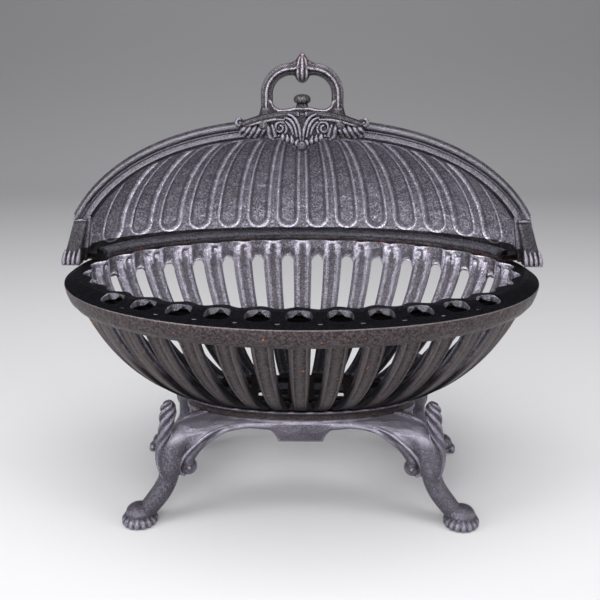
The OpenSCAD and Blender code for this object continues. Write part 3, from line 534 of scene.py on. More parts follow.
def stand_finish(tree, place, colour, roughness):
    """Burnt brown-black ring band; inside, soot and painted shade; apron top, painted light."""
    upward, height = tree.axis(tree.coordinate("Normal"), "Z"), tree.axis(place, "Z")
    reach = oval_reach(tree, place, ring_a, ring_b)
    band = (height.step(0.0972, 0.0980) * height.step(0.1056, 0.1050)
            * reach.step(0.975, 0.985) * reach.step(1.03, 1.02))
    burnt = tree.blend(tree.noise(place, 520, 3.0, 0.7).step(0.4, 0.64),
                       (0.012, 0.0090, 0.0088, 1), (0.052, 0.040, 0.040, 1))
    # Painted light: the apron's upward faces below the ring are made much lighter
    painted_top_light = (upward.step(0.20, 0.75) * height.step(0.078, 0.090)
             * height.step(0.1010, 0.1000) * reach.step(1.02, 1.05))
    # Soot and painted shade: the inside of the ring under the bowl is near-black
    inside = reach.step(0.965, 0.955) * height.step(0.080, 0.086)
    colour = tree.blend(painted_top_light * 0.85, colour, (0.40, 0.375, 0.45, 1))
    colour = tree.blend(inside, colour, (0.006, 0.0055, 0.006, 1))
    return (tree.blend(band * 0.9, colour, burnt), roughness + 0.1 * band,
            leaded + (1 - leaded) * inside)


stand_iron = grained_iron("stand_black_lead", (0.090, 0.083, 0.104), 0.33, bright=2.6,
                          finish=stand_finish, grain=760, coarse=0.75)
coat(stand, stand_iron, 0.42)
rear = mirrored(stand, "stand_rear_casting", 1)
for piece, node in ((stand, "stand_front"), (rear, "stand_rear")):
    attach(piece, "stand")
    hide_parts(node)


# ---- Stand fasteners: two bolts with washers and nuts through lugs under the ends of the ring.
# Plain steel, blackened with the stand. They keep their built shapes.
def blackened_steel(name, shade, rough):
    """Turned or forged steel: fine scratches and a thin dull skin."""
    material, tree = new_material(name)
    place = tree.coordinate("Object")
    patch = tree.noise(place, 140, 2.0)
    colour = tree.blend(patch.step(0.35, 0.7), tint(shade, 0.7), tint(shade, 1.25))
    metal_surface(tree, colour, 0.9, rough + 0.2 * (patch - 0.5), 0.3, 0.0002,
                  tree.noise(place, 1500, 2.0) + patch)
    return material


def dressed(node, material):
    """A CAD node keeps its shape and takes this material."""
    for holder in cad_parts[node].material_slots:
        holder.material = material


steel = blackened_steel("blackened_steel", (0.085, 0.082, 0.088), 0.42)
for node in ("stand_bolts", "stand_washers", "stand_nuts"):
    dressed(node, steel)


# ---- Fire bowl: one iron casting of flat rim, outer band, 32 curved bars and a foot ring that
# drops into the stand. The bars keep one pitch along the rim's waved inner edge.
rim_a, rim_b, inner_a, inner_b, rim_z = 232.0, 160.0, 211.0, 120.0, 240.0
rim_fall, rim_land, wave, collar_h, collar_t = 6.0, 12.0, 3.3, 15.0, 7.0
band_h, rim_t = 20.0, 8.0
bar_count, bar_deep, foot_size = 32, 13.0, 0.61   # foot_size: a bar's width below, as a share
bar_a, bar_b = inner_a - wave + bar_deep + 2, inner_b - wave + bar_deep   # its outer face
foot_a, foot_b, foot_wall, foot_h = 109.5, 40.0, 8.0, 12.0


def run_along(points, axis=0):
    """How far each point lies along a line, or along one way of a grid."""
    steps = np.linalg.norm(np.diff(points, axis=axis), axis=-1)
    return np.insert(np.cumsum(steps, axis=axis), 0, 0, axis=axis)


half_turns = np.arange(0, 360.25, 0.5)
inner_run = run_along(oval(half_turns, inner_a, inner_b))
pitch = inner_run[-1] / bar_count


def bar_angle(k):
    """Where bar k stands, in degrees. Bar 0 is the middle of the front."""
    return float(np.sign(k) * np.interp(abs(k) * pitch, inner_run, half_turns))


def rim_way(angle):
    """The way along the rim at an angle."""
    angle = math.radians(angle)
    return np.array([inner_a * math.cos(angle), inner_b * math.sin(angle), 0])


def bar_line(k, steps):
    """Up the outer face of a bar: its points, the way along the rim there, and its size."""
    angle = bar_angle(k)
    level = np.linspace(1, 0, steps)
    out = np.maximum(np.cos(math.pi / 2 * level), 0) ** 1.25
    down = np.maximum(np.sin(math.pi / 2 * level), 0) ** 1.25
    plan = np.stack([oval(angle, foot_a - 3 + (bar_a - foot_a + 3) * o,
                          foot_b - 3 + (bar_b - foot_b + 3) * o) for o in out])
    high, low = rim_z - rim_t + 1, seat_z + foot_h - 4
    return (np.column_stack([plan, high - (high - low) * down]), unit(rim_way(angle)),
            1 - (1 - foot_size) * level)


bar_steps = 26
guide_points, guide_edges, facing, size = [], [], [], []
for k in range(bar_count):
    line, along, scale = bar_line(k, bar_steps)
    first = len(guide_points)
    guide_edges += [(first + i, first + i + 1) for i in range(bar_steps - 1)]
    guide_points += line.tolist()
    facing += [along.tolist()] * bar_steps
    size += scale.tolist()


def guide_object(name, points, edges, facing=None, size=None):
    """A wire mesh for a sweep, in millimetres, with the facing and size of each point."""
    mesh = bpy.data.meshes.new(name)
    mesh.from_pydata(np.asarray(points, float) * MM, edges, [])
    if facing is not None:
        mesh.attributes.new("facing", "FLOAT_VECTOR", "POINT").data.foreach_set(
            "vector", np.asarray(facing, np.float32).ravel())
        mesh.attributes.new("size", "FLOAT", "POINT").data.foreach_set(
            "value", np.asarray(size, np.float32))
    return added(name, mesh)


def group(name, inputs):
    """An empty geometry tree with named inputs, and its Wire for each of them."""
    tree = bpy.data.node_groups.new(name, "GeometryNodeTree")
    tree.interface.new_socket("Geometry", in_out="INPUT", socket_type="NodeSocketGeometry")
    for label, kind in inputs:
        tree.interface.new_socket(label, in_out="INPUT", socket_type="NodeSocket" + kind)
    tree.interface.new_socket("Geometry", in_out="OUTPUT", socket_type="NodeSocketGeometry")
    made = Tree(tree)
    start = made.node("NodeGroupInput")
    ports = start.socket.node.outputs
    return made, {port.name: Wire(made, port) for port in ports if port.name}


def close_group(made, geometry, material):
    """The tree's end: real geometry with its material."""
    real = made.node("GeometryNodeRealizeInstances", None, {"Geometry": geometry})
    done = made.node("GeometryNodeSetMaterial", None, {"Geometry": real, "Material": material})
    made.node("NodeGroupOutput", None, {0: done})
    return made.tree


def attribute(made, name, kind):
    return made.node("GeometryNodeInputNamedAttribute", {"data_type": kind}, {"Name": name})


def swept_tree():
    """Sweeps a section along each line of a guide, turned and scaled by its attributes."""
    made, ports = group("swept_section", [("Section", "Object"), ("Material", "Material")])
    line = made.node("GeometryNodeMeshToCurve", None, {"Mesh": ports["Geometry"]})
    turned = made.node("GeometryNodeSetCurveNormal", {"mode": "FREE"},
                       {"Curve": line, "Normal": attribute(made, "facing", "FLOAT_VECTOR")})
    section = made.node("GeometryNodeObjectInfo", None, {"Object": ports["Section"]}, "Geometry")
    edge = made.node("GeometryNodeMeshToCurve", None, {"Mesh": section})
    body = made.node("GeometryNodeCurveToMesh", None,
                     {"Curve": turned, "Profile Curve": edge, "Fill Caps": True,
                      "Scale": attribute(made, "size", "FLOAT")})
    return close_group(made, body, ports["Material"])


def grown(name, guide, tree, inputs):
    """Runs a geometry tree on a guide and gives back the plain mesh object."""
    work = guide.modifiers.new("grow", "NODES")
    work.node_group = tree
    for item in tree.interface.items_tree:
        if item.in_out == "INPUT" and item.name in inputs:
            work[item.identifier] = inputs[item.name]
    return settled(guide, name)


sweeping = swept_tree()


def swept(name, points, facing, section, material, edges=None, size=None):
    """A closed section swept along a guide, or along a plain line of points."""
    edges = edges or [(i, i + 1) for i in range(len(points) - 1)]
    size = np.ones(len(points)) if size is None else size
    outline = guide_object(name + "_section", [(x, y, 0) for x, y in section],
                           [(i, (i + 1) % len(section)) for i in range(len(section))])
    made = grown(name, guide_object(name + "_guide", points, edges, facing, size), sweeping,
                 {"Section": outline, "Material": material})
    bpy.data.objects.remove(outline)
    return made


def joined(name, pieces):
    """Several mesh objects as one, with its faces outward."""
    work = bmesh.new()
    for piece in pieces:
        work.from_mesh(piece.data)
        bpy.data.objects.remove(piece)
    for face in work.faces:
        face.material_index = 0
    bmesh.ops.remove_doubles(work, verts=work.verts, dist=1e-7)
    bmesh.ops.recalc_face_normals(work, faces=work.faces)
    mesh = bpy.data.meshes.new(name)
    work.to_mesh(mesh)
    work.free()
    return added(name, mesh)


def carved(piece, cutters):
    """Cuts closed shapes out of a piece."""
    for cutter in cutters:
        cut = piece.modifiers.new("cut", "BOOLEAN")
        cut.operation, cut.object, cut.solver = "DIFFERENCE", cutter, "MANIFOLD"
    made = settled(piece, piece.name)
    for cutter in cutters:
        bpy.data.objects.remove(cutter)
    return made


def bowl_finish(tree, place, colour, roughness):
    """Matt near-black rim top, bright satin inside, brown-black outside with painted highlights
    on its edges, soot low down, and painted shade under the rim, on the bars' sides and in the
    draught holes. Heights are in metres. outward is above 0 where a face looks out of the oval."""
    normal = tree.coordinate("Normal")
    height, upward = tree.axis(place, "Z"), tree.axis(normal, "Z")
    spread = tree.vector("MULTIPLY", place, (18.6, 39.0, 0.0))
    outward = tree.vector("DOT_PRODUCT", spread, normal, "Value")
    reach = oval_reach(tree, place, rim_a, rim_b)
    outside = outward.step(0.2, 1.2) * tree.larger(
        reach.step(0.90, 0.93), height.step(0.2345, 0.2335))
    bead = reach.step(0.962, 0.968) * reach.step(0.992, 0.988)
    top = tree.larger(upward.step(0.50, 0.72), bead) * height.step(0.2328, 0.2338)
    scale = tree.noise(place, 420, 3.0, 0.7)
    brown = tree.blend(scale.step(0.38, 0.64), (0.014, 0.0095, 0.0092, 1),
                       (0.088, 0.066, 0.068, 1))
    wear = tree.node("ShaderNodeAttribute", {"attribute_name": "wear"}, out="Fac")
    # Proud edges outside are lighter brown: rubbed edges with a painted highlight
    edge = wear.step(0.66, 0.95) * (1 - height.step(0.2135, 0.2145) * height.step(0.2332, 0.2322))
    brown = tree.blend(edge * 0.7, brown, (0.19, 0.165, 0.165, 1))
    brown = tree.blend(height.step(0.2145, 0.2125) * 0.34, brown, (0.004, 0.003, 0.003, 1))
    colour = tree.blend(outside * 0.985, colour, brown)
    speck = tree.noise(place, 190, 1.0).step(0.745, 0.775) * outside
    colour = tree.blend(speck, colour, (0.30, 0.12, 0.05, 1))
    # Painted shade under the rim, between the band and the bars, seen through the holes
    under = (height.step(0.2155, 0.217) * height.step(0.2348, 0.2338)
             * reach.step(0.952, 0.945) * outward.step(-1.2, -0.4))
    low = height.step(0.178, 0.150) * outward.step(2.4, 1.2)
    # Painted shade on the bars' sides below the collar
    flank = outward.step(1.1, 0.5) * outward.step(-1.6, -0.6) * height.step(0.216, 0.211)
    soot_and_shade = tree.larger(under, tree.larger(low * 0.93, flank * 0.75))
    black = tree.blend(scale.step(0.3, 0.7), (0.0032, 0.0032, 0.0044, 1),
                       (0.0105, 0.0105, 0.0135, 1))
    # Painted shade on the far walls of the draught holes
    pocket_wall_shade = outward.step(0.2, 1.2) * height.step(0.2262, 0.2272) * reach.step(0.915, 0.905)
    colour = tree.blend(pocket_wall_shade * 0.75, colour, (0.026, 0.025, 0.028, 1))
    colour = tree.blend(soot_and_shade, colour, (0.004, 0.0036, 0.004, 1))
    colour = tree.blend(top, colour, black)
    roughness = roughness + 0.14 * outside + 0.22 * top + 0.2 * soot_and_shade
    return colour, roughness, leaded + (1 - leaded) * tree.larger(top, soot_and_shade)


bowl_iron = grained_iron("bowl_iron", (0.215, 0.203, 0.240), 0.33, bright=3.0,
                         finish=bowl_finish)
bar_half = [(0, 0.35), (3.6, 0.35), (6.0, 0.35), (6.7, 0.05), (7.4, 0), (8.0, 0.5), (9.1, 1.7),
            (10.2, 2.9), (10.7, 4.2), (10.95, 6.2), (11, 7.4), (10.6, 8.8), (9.4, 10.4),
            (7.8, 12.0), (6.4, 12.8), (5.0, 13.0), (3.4, 12.5), (1.6, 11.9), (0, 11.7)]
bars = swept("bars", guide_points, facing, bar_half + [(-x, y) for x, y in bar_half[-2:0:-1]],
             bowl_iron, guide_edges, size)

inner_half = np.array([[0, 11.7], [1.6, 11.9], [3.4, 12.5], [5.0, 13.0], [6.4, 12.8], [7.8, 12.0],
                       [9.4, 10.6], [10.8, 9.2], [12.6, 8.0], [14.6, 7.3], [16.9, 7.0]])
columns = 22 * bar_count
wide_a, wide_b = rim_a - inner_a, rim_b - inner_b   # the rim's width at its ends, in its middle
land_a, land_b = wide_a - rim_land, wide_b - rim_land
edge_z, band_z = rim_z - rim_fall, rim_z - rim_fall - band_h
slot_r = 6.2
rim_rings = []
for i in range(columns):
    phase = i * bar_count / columns
    angle = bar_angle(phase)
    swell = wave * math.cos(2 * math.pi * phase)
    from_gap = abs((phase % 1) - 0.5) * pitch   # distance from the middle of a slot
    arch = slot_r - math.sqrt(max(slot_r ** 2 - from_gap ** 2, 0))
    low = rim_z - collar_h - 4.5 - arch
    section = [   # inset at the ends and in the middle, height, share of swell and of flutes
        *((p, p, edge_z + z, 0, 0) for p, z in ((0, -1.6), (0.25, -0.3), (1.4, 0.15))),
        (land_a * 0.4, land_b * 0.4, rim_z - rim_fall * 0.62, 0, 0),
        (land_a * 0.8, land_b * 0.8, rim_z - rim_fall * 0.22, 0, 0),
        (land_a, land_b, rim_z - 0.1, 0, 0), (land_a + 2, land_b + 2, rim_z, 0.2, 0),
        *((wide_a - p, wide_b - p, rim_z - z, swing, 0)
          for p, z, swing in ((3, 0, 0.8), (1.0, 0.1, 1), (0.2, 0.7, 1), (0, 2, 1))),
        *((wide_a, wide_b, rim_z - z, 1, share)
          for z, share in ((4.0, 0.35), (6.0, 0.75), (8.0, 0.95), (10.5, 1.0))),
        *((wide_a, wide_b, rim_z - 10.5 + (low + 10.5 - rim_z) * s, 1, 1.0)
          for s in (0.22, 0.44, 0.66, 0.86)),
        (wide_a - 2, wide_b - 2, low, 0.2, 0.7), (wide_a - collar_t, wide_b - collar_t, low, 0, 0),
        (wide_a - collar_t - 0.5, wide_b - collar_t - 0.5, rim_z - rim_t - 2, 0, 0),
        (10, 10, edge_z - rim_t, 0, 0),
        *((p, p, band_z + z, 0, 0)
          for p, z in ((14, 1.2), (13, 0.2), (9, 0), (7.8, 0.5), (7.0, 1.6))),
        *((p, p, edge_z - down * band_h, 0, 0)
          for p, down in ((3.6, 0.72), (1.4, 0.42), (0.3, 0.16)))]
    # Below the rim's edge the inner wall carries on the shape of the bars
    fluted = np.interp(pitch / 2 - from_gap, inner_half[:, 0], inner_half[:, 1]) + 0.35
    rim_rings.append([
        (*oval(angle, rim_a - (p + s * swell) * (1 - share) - (rim_a - bar_a + fluted) * share,
               rim_b - (q + s * swell) * (1 - share) - (rim_b - bar_b + fluted) * share), z)
        for p, q, z, s, share in section])
rim = raw_object("rim", [skin(rim_rings, loop=True)])


def rim_height(a_inset, b_inset):
    """Height of the rim's top at an inset from its edge."""
    share = min(a_inset / land_a, b_inset / land_b, 1)
    return rim_z - rim_fall * (1 - share)


# Eleven draught holes in front and eleven behind, which narrow towards the rim's ends
hole_long, hole_across, back_bar = 24.0, 20.5, bar_count // 2
hole_inset, pip_inset = (10, 22), (5, 9)   # from the rim's edge at its ends and in its middle
pockets, throats = [], []
for k in [i + middle for middle in (0, back_bar) for i in range(-5, 6)]:
    angle = bar_angle(k)
    here = oval(angle, rim_a - hole_inset[0], rim_b - hole_inset[1])
    turn = math.atan2(rim_way(angle)[1], rim_way(angle)[0])
    across = hole_across * (0.62 + 0.38 * abs(math.cos(math.radians(angle))) ** 1.2)
    face = rim_height(*hole_inset)
    ring = []
    for a in full_turn(36):
        x = hole_long / 2 * np.sign(math.cos(a)) * abs(math.cos(a)) ** 0.75
        y = across / 2 * np.sign(math.sin(a)) * abs(math.sin(a)) ** 0.75
        ring.append((x * (0.93 - 0.10 * math.sin(a)), y))

    def at_hole(x, y, z):
        return (here[0] + x * math.cos(turn) - y * math.sin(turn),
                here[1] + x * math.sin(turn) + y * math.cos(turn), z)

    pockets.append(skin([[at_hole(x * s, y * s, z) for x, y in ring]
                         for z, s in ((face + 9, 1.04), (face - 1.0, 1.0), (face - 8.5, 0.94))]))
    # The roots of two bars leave a dark wedge between them in the far wall of the pocket
    wedge = [(-0.7, face - 0.5), (0.7, face - 0.5), (hole_long * 0.37, face - 7.2),
             (hole_long * 0.40, face - 13), (-hole_long * 0.40, face - 13),
             (-hole_long * 0.37, face - 7.2)]
    throats.append(skin([[at_hole(x, y, z) for x, z in wedge]
                         for y in (-across * 0.40, across * 0.47 + 4.2)]))
rim = carved(rim, [raw_object("pocket_shapes", pockets), raw_object("throat_shapes", throats)])

foot = raw_object("foot_ring", [skin([
    [(*oval(float(a), foot_a - p, foot_b - p), seat_z + z) for p, z in (
        (0.6, 0), (0, 0.6), (0, foot_h - 1), (1, foot_h), (foot_wall - 0.6, foot_h),
        (foot_wall, foot_h - 0.6), (foot_wall, 9), (foot_wall + 3.6, 9), (foot_wall + 4, 8.6),
        (foot_wall + 4, 0))] for a in np.linspace(0, 360, 160, endpoint=False)], loop=True)])


def scattered_tree():
    """Sets a small shape on each point of a guide, turned to its facing."""
    made, ports = group("set_shapes", [("Shape", "Object"), ("Material", "Material")])
    points = made.node("GeometryNodeMeshToPoints", None, {"Mesh": ports["Geometry"]})
    turn = made.node("FunctionNodeAlignRotationToVector", {"axis": "X", "pivot_axis": "Z"},
                     {"Vector": attribute(made, "facing", "FLOAT_VECTOR")})
    shape = made.node("GeometryNodeObjectInfo", None, {"Object": ports["Shape"]}, "Geometry")
    placed = made.node("GeometryNodeInstanceOnPoints", None,
                       {"Points": points, "Instance": shape, "Rotation": turn,
                        "Scale": attribute(made, "size", "FLOAT")})
    return close_group(made, placed, ports["Material"])


pip_angles = [bar_angle(i + middle + 0.5) for middle in (0, back_bar) for i in range(-5, 5)]
pip_points = [(*oval(angle, rim_a - pip_inset[0], rim_b - pip_inset[1]),
               rim_height(*pip_inset) - 0.1) for angle in pip_angles]
pip = raw_object("pip", [ball((0, 0, 0), (2.4, 1.3, 0.9), 14, 8)])
pips = grown("pips", guide_object("pip_guides", pip_points, [],
                                  [rim_way(angle) for angle in pip_angles],
                                  [1.0] * len(pip_points)),
             scattered_tree(), {"Shape": pip, "Material": bowl_iron})
bpy.data.objects.remove(pip)
bowl = joined("fire_bowl_casting", [rim, bars, foot, pips])
coat(bowl, bowl_iron, 0.5, 2, sharp=42)
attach(bowl, "bowl")
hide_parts("fire_bowl")


# ---- Bottom grate: a loose slotted plate on the shoulder inside the foot ring. It is the part
# that burns away first, so it is plain, scaled and rusty.
def burnt_finish(tree, place, colour, roughness):
    """Fire scale and rust on a plate that lies under the coals."""
    flake = tree.noise(place, 120, 4.0, 0.7)
    colour = tree.blend(flake.step(0.42, 0.62), colour, (0.014, 0.0085, 0.0065, 1))
    return colour, roughness + 0.2, 0.95


grate_iron = grained_iron("grate_iron", (0.0075, 0.0068, 0.0070), 0.66, wear_and_sheen=False,
                          finish=burnt_finish)
dressed("bottom_grate", grate_iron)


# ---- Hood: half a full-ended dome in cast iron, open to the front, that stands loose on the
# back of the rim. Fourteen sunk panels line its inside, a roll stiffens its mouth, and a
# half-round moulding and a flange run along its foot. Two pegs drop into the rim's holes.
dome_a, dome_b, dome_c, dome_wall, dome_square = 240.0, 130.0, 143.0, 8.0, 2 / 2.35
lean = math.radians(12)
mouth_y, mouth_slope = 28.0, math.tan(lean)
panels_a_side, rib_wide, panel_sink, panel_border, panel_low = 7, 12.5, 2.6, 13.0, 0.095
panel_corner = 7.0
roll_out, flange_t, moulding_r = 5.5, 6.0, 5.5


def dome_point(angle, rise, out):
    """A point of the dome in degrees: angle 0 is the middle of the back, rise 0 its foot."""
    angle, rise, out = np.broadcast_arrays(np.radians(angle), np.radians(rise), out)
    side = np.sin(angle)
    return np.stack([
        (dome_a + out) * np.sign(side) * np.abs(side) ** dome_square
        * np.cos(rise) ** dome_square,
        (dome_b + out) * np.cos(rise) * np.cos(angle),
        rim_z + (dome_c + out) * np.sin(rise)], -1)


def mouth_rise(angle, out):
    """Where a line up the dome meets the leaning plane of the mouth."""
    along = (dome_b + out) * np.cos(np.radians(angle))
    up = mouth_slope * (dome_c + out)
    reach = np.hypot(along, up)
    return np.maximum(0, np.degrees(np.arccos(np.minimum(mouth_y / reach, 1))
                                    - np.arctan2(up, along)))


end_angle = math.degrees(math.acos((mouth_y + 10) / (dome_b - dome_wall / 2)))
quarter = np.arange(0, 90.25, 0.5)
foot_line = dome_point(quarter, 0, -dome_wall / 2)
foot_run = run_along(foot_line)
half_runs = np.concatenate([np.arange(0, panels_a_side * 26) * pitch / 26,
                            np.linspace(panels_a_side * pitch,
                                        np.interp(end_angle, quarter, foot_run), 14)])
runs = np.concatenate([-half_runs[:0:-1], half_runs])
angles = np.sign(runs) * np.interp(np.abs(runs), foot_run, quarter)
rows = np.linspace(0, 1, 112)
inner = dome_point(angles[:, None], mouth_rise(angles, -4.0)[:, None] * rows, -dome_wall / 2)
across, upward = run_along(inner, 0), run_along(inner, 1)
depth = np.zeros_like(upward)
for side in (-1, 1):
    for i in range(panels_a_side):
        edges = [side * (i * pitch + rib_wide / 2), side * ((i + 1) * pitch - rib_wide / 2)]
        low_edge, high_edge = (np.array([np.interp(e, runs, across[:, r])
                                         for r in range(len(rows))]) for e in sorted(edges))
        middle, half = (low_edge + high_edge) / 2, (high_edge - low_edge) / 2
        u = across - middle
        v = upward - panel_low * upward[:, -1:]
        top = upward[:, -1:] - panel_border - upward
        to_side = half - np.abs(u)
        to_foot = np.where(v < half, half - np.hypot(u, half - v), np.inf)
        inside = np.minimum(np.minimum(to_side, to_foot), top)
        rounded = panel_corner - np.hypot(np.maximum(panel_corner - to_side, 0),
                                          np.maximum(panel_corner - top, 0))
        inside = np.where(u * side > 0, np.minimum(inside, rounded), inside)
        inside = np.where(np.abs(u) < half + 6, inside, -np.inf)
        sunk = np.clip((inside + 0.5) / 2.0, 0, 1)
        sunk = sunk * sunk * (3 - 2 * sunk)
        bead = np.exp(-((inside + 1.5) / 0.9) ** 2)
        depth = np.where(inside > -5, np.maximum(panel_sink * sunk, depth) - 0.75 * bead, depth)
out = -dome_wall / 2 + depth
inner = dome_point(angles[:, None], mouth_rise(angles[:, None], out) * rows, out)
outer_rows = np.linspace(0, 1, 28)
outer = dome_point(angles[:, None], mouth_rise(angles, 4.0)[:, None] * outer_rows, dome_wall / 2)
hood_parts = [skin(np.concatenate([outer, inner[:, ::-1]], axis=1))]


def solid(points):
    """The closed hull of some points."""
    work = bmesh.new()
    for point in points:
        work.verts.new(point)
    made = bmesh.ops.convex_hull(work, input=work.verts)
    spare = {g for g in made["geom_unused"] + made["geom_interior"]
             if isinstance(g, bmesh.types.BMVert)}
    bmesh.ops.delete(work, geom=list(spare), context="VERTS")
    work.verts.index_update()
    result = (np.array([v.co for v in work.verts]), [[v.index for v in f.verts]
                                                     for f in work.faces])
    work.free()
    return result


def block(x, y, z):
    """The eight corners of a box from its three ranges."""
    return [(a, b, c) for a in x for b in y for c in z]


mould_a, mould_b = inner_a - 1, inner_b - 1
mould_end = math.degrees(math.acos(mouth_y / mould_b))
plan = np.linspace(-1, 1, 160)
base = dome_point(plan * end_angle, 0, 0)
lip = np.stack([mould_a * np.sin(np.radians(plan * mould_end)),
                mould_b * np.cos(np.radians(plan * mould_end))], 1)
hood_parts.append(skin([[(b[0], b[1], rim_z), (b[0], b[1], rim_z + flange_t),
                         (l[0], l[1], rim_z + flange_t), (l[0], l[1] - 0.4, rim_z + 0.6),
                         (l[0], l[1], rim_z)] for b, l in zip(base, lip)]))
paw_h = 44
mouth_end = mouth_y + mouth_slope * paw_h
for side in (-1, 1):   # the solid ends behind the paws
    low = block((side * 220, side * 238), (mouth_y, mouth_y + 14), (rim_z, rim_z + 1))
    high = block((side * 215, side * 232), (mouth_end, mouth_end + 11),
                 (rim_z + paw_h - 2, rim_z + paw_h))
    hood_parts.append(solid(low + high))
# The crown's pad and boss under the handle
crown_z = rim_z + dome_c * math.sin(math.radians(float(mouth_rise(0, 0))))
pad_top = crown_z + 6
crown_y = mouth_y + mouth_slope * (pad_top - rim_z) + 10 + 5 + 0.5
hood_parts.append(solid(block((-49, 49), (crown_y - 10, crown_y + 10), (pad_top - 8, pad_top))
                        + block((-37, 37), (crown_y - 2, crown_y + 8),
                                (pad_top - 14, pad_top - 13))))
hood_parts.append(upright(0, crown_y, [(11.2, pad_top - 16), (11.2, pad_top - 8)]))
for side in (-1, 1):   # the pegs for the rim's holes
    here = oval(bar_angle(back_bar + 3 * side), rim_a - 10, rim_b - 27)
    hood_parts.append(upright(*here, [(3.2, rim_z - 12), (4.5, rim_z - 10.5), (4.5, rim_z + 2)],
                              24))
shell = raw_object("hood_castings", hood_parts)


def hood_finish(tree, place, colour, roughness):
    """Painted shade on the roll, moulding and back, and rust where the hood stands on the rim."""
    spoke = tree.vector("SUBTRACT", place, (0, 0, rim_z * MM))
    outward = tree.vector("DOT_PRODUCT", spoke, tree.coordinate("Normal"), "Value")
    back = outward.step(0.010, 0.035)
    height = tree.axis(place, "Z")
    behind = tree.vector("DOT_PRODUCT", place, (0, 1, -mouth_slope), "Value")
    mouth = (mouth_y - rim_z * mouth_slope) * MM
    mouth_shade = behind.step(mouth + 0.0068, mouth + 0.0060)
    low = height.step(0.2535, 0.2525)
    # Painted shade: the roll, the moulding and the back of the hood are darkened
    for share, dim in ((mouth_shade, 0.22), (low, 0.09), (back, 0.42)):
        colour = tree.node("ShaderNodeMix", {"data_type": "RGBA", "blend_type": "MULTIPLY"},
                           {0: share, 6: colour, 7: (dim, dim, dim, 1)}, 2)
    foot = height.step(0.2432, 0.2408)
    rust = tree.noise(place, 130, 3.0, 0.6).step(0.50, 0.62)
    colour = tree.blend(foot * 0.75, colour, (0.012, 0.010, 0.010, 1))
    colour = tree.blend(foot * rust * 0.8, colour, (0.16, 0.05, 0.025, 1))
    return colour, roughness + 0.2 * foot, leaded


# Painted light: the hood's iron is made far lighter than the stand's, lighting the dome's inside
hood_iron = grained_iron("hood_iron", (0.315, 0.298, 0.350), 0.34, bright=2.4,
                         finish=hood_finish)
roll_angles = np.linspace(-end_angle - 1, end_angle + 1, 150)
roll_line = dome_point(roll_angles, mouth_rise(roll_angles, roll_out), roll_out)
roll_inner = dome_point(roll_angles, mouth_rise(roll_angles, roll_out - 4), roll_out - 4)
roll = swept("roll", roll_line, [unit(a - b) for a, b in zip(roll_line, roll_inner)], [
    (-5.4, -4.0), (-5.7, -0.5), (-5.4, 2.2), (-4.6, 3.4), (-3.8, 3.3), (-3.2, 2.6), (-2.6, 2.9),
    (-1.9, 4.2), (-0.8, 5.1), (0.8, 5.4), (2.4, 5.1), (3.4, 4.2), (3.9, 3.3), (4.4, 3.0),
    (5.0, 3.2), (5.5, 2.4), (5.7, 0.6), (5.5, -1.8), (4.4, -3.8), (2.4, -4.9), (0, -5.2),
    (-3.0, -5.0)], hood_iron)
mould_turns = np.radians(np.linspace(-mould_end + 2, mould_end - 2, 150))
mould_line = np.stack([(mould_a + moulding_r) * np.sin(mould_turns),
                       (mould_b + moulding_r) * np.cos(mould_turns),
                       np.full(150, rim_z + moulding_r + 0.15)], 1)
moulding = swept("moulding", mould_line, [(0, 0, 1)] * 150, [
    (-5.3, -4.0), (-5.3, 4.4), (-4.9, 5.1), (-4.2, 5.3), (-3.6, 4.9), (-3.1, 4.2), (-2.6, 4.6),
    (-1.8, 5.4), (-0.4, 5.9), (1.2, 5.7), (2.8, 5.0), (4.2, 3.6), (5.1, 1.8), (5.4, -0.4),
    (5.2, -3.2)], hood_iron)
hood = joined("hood_casting", [shell, roll, moulding])
coat(hood, hood_iron, 0.28, 2, sharp=48)
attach(hood, "hood")
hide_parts("hood_shell")


# ---- Paws in front of the ends of the arch: two small castings with four fluted toes, each
# held by a screw from behind. They lean back with the mouth of the hood.
def at_mouth(points, foot):
    """Points of the leaning plane of the mouth, whose own height starts at a height."""
    points = np.atleast_2d(np.asarray(points, float))
    x, y, z = points[:, 0], points[:, 1], points[:, 2]
    placed = np.stack([x, mouth_y + mouth_slope * (foot - rim_z) + y * math.cos(lean)
                       + z * math.sin(lean), foot - y * math.sin(lean) + z * math.cos(lean)], 1)
    return np.concatenate([placed, points[:, 3:]], 1)


def bent(path, count, foot):
    """A smooth path of x, y, z, radius rows, put into the leaning plane."""
    return at_mouth(smooth_path(path, count), foot)


def paw_ring(x, half_w, back, front, z, square=0.62):
    """A level ring of the paw: flat at the back, round in front."""
    c, s = np.cos(full_turn(40)), np.sin(full_turn(40))
    deep = (back + front) / 2
    return at_mouth(np.stack([x + half_w * np.sign(c) * np.abs(c) ** square,
                              deep + (back - front) / 2 * np.sign(s) * np.abs(s) ** square,
                              np.full(40, z)], 1), paw_z)


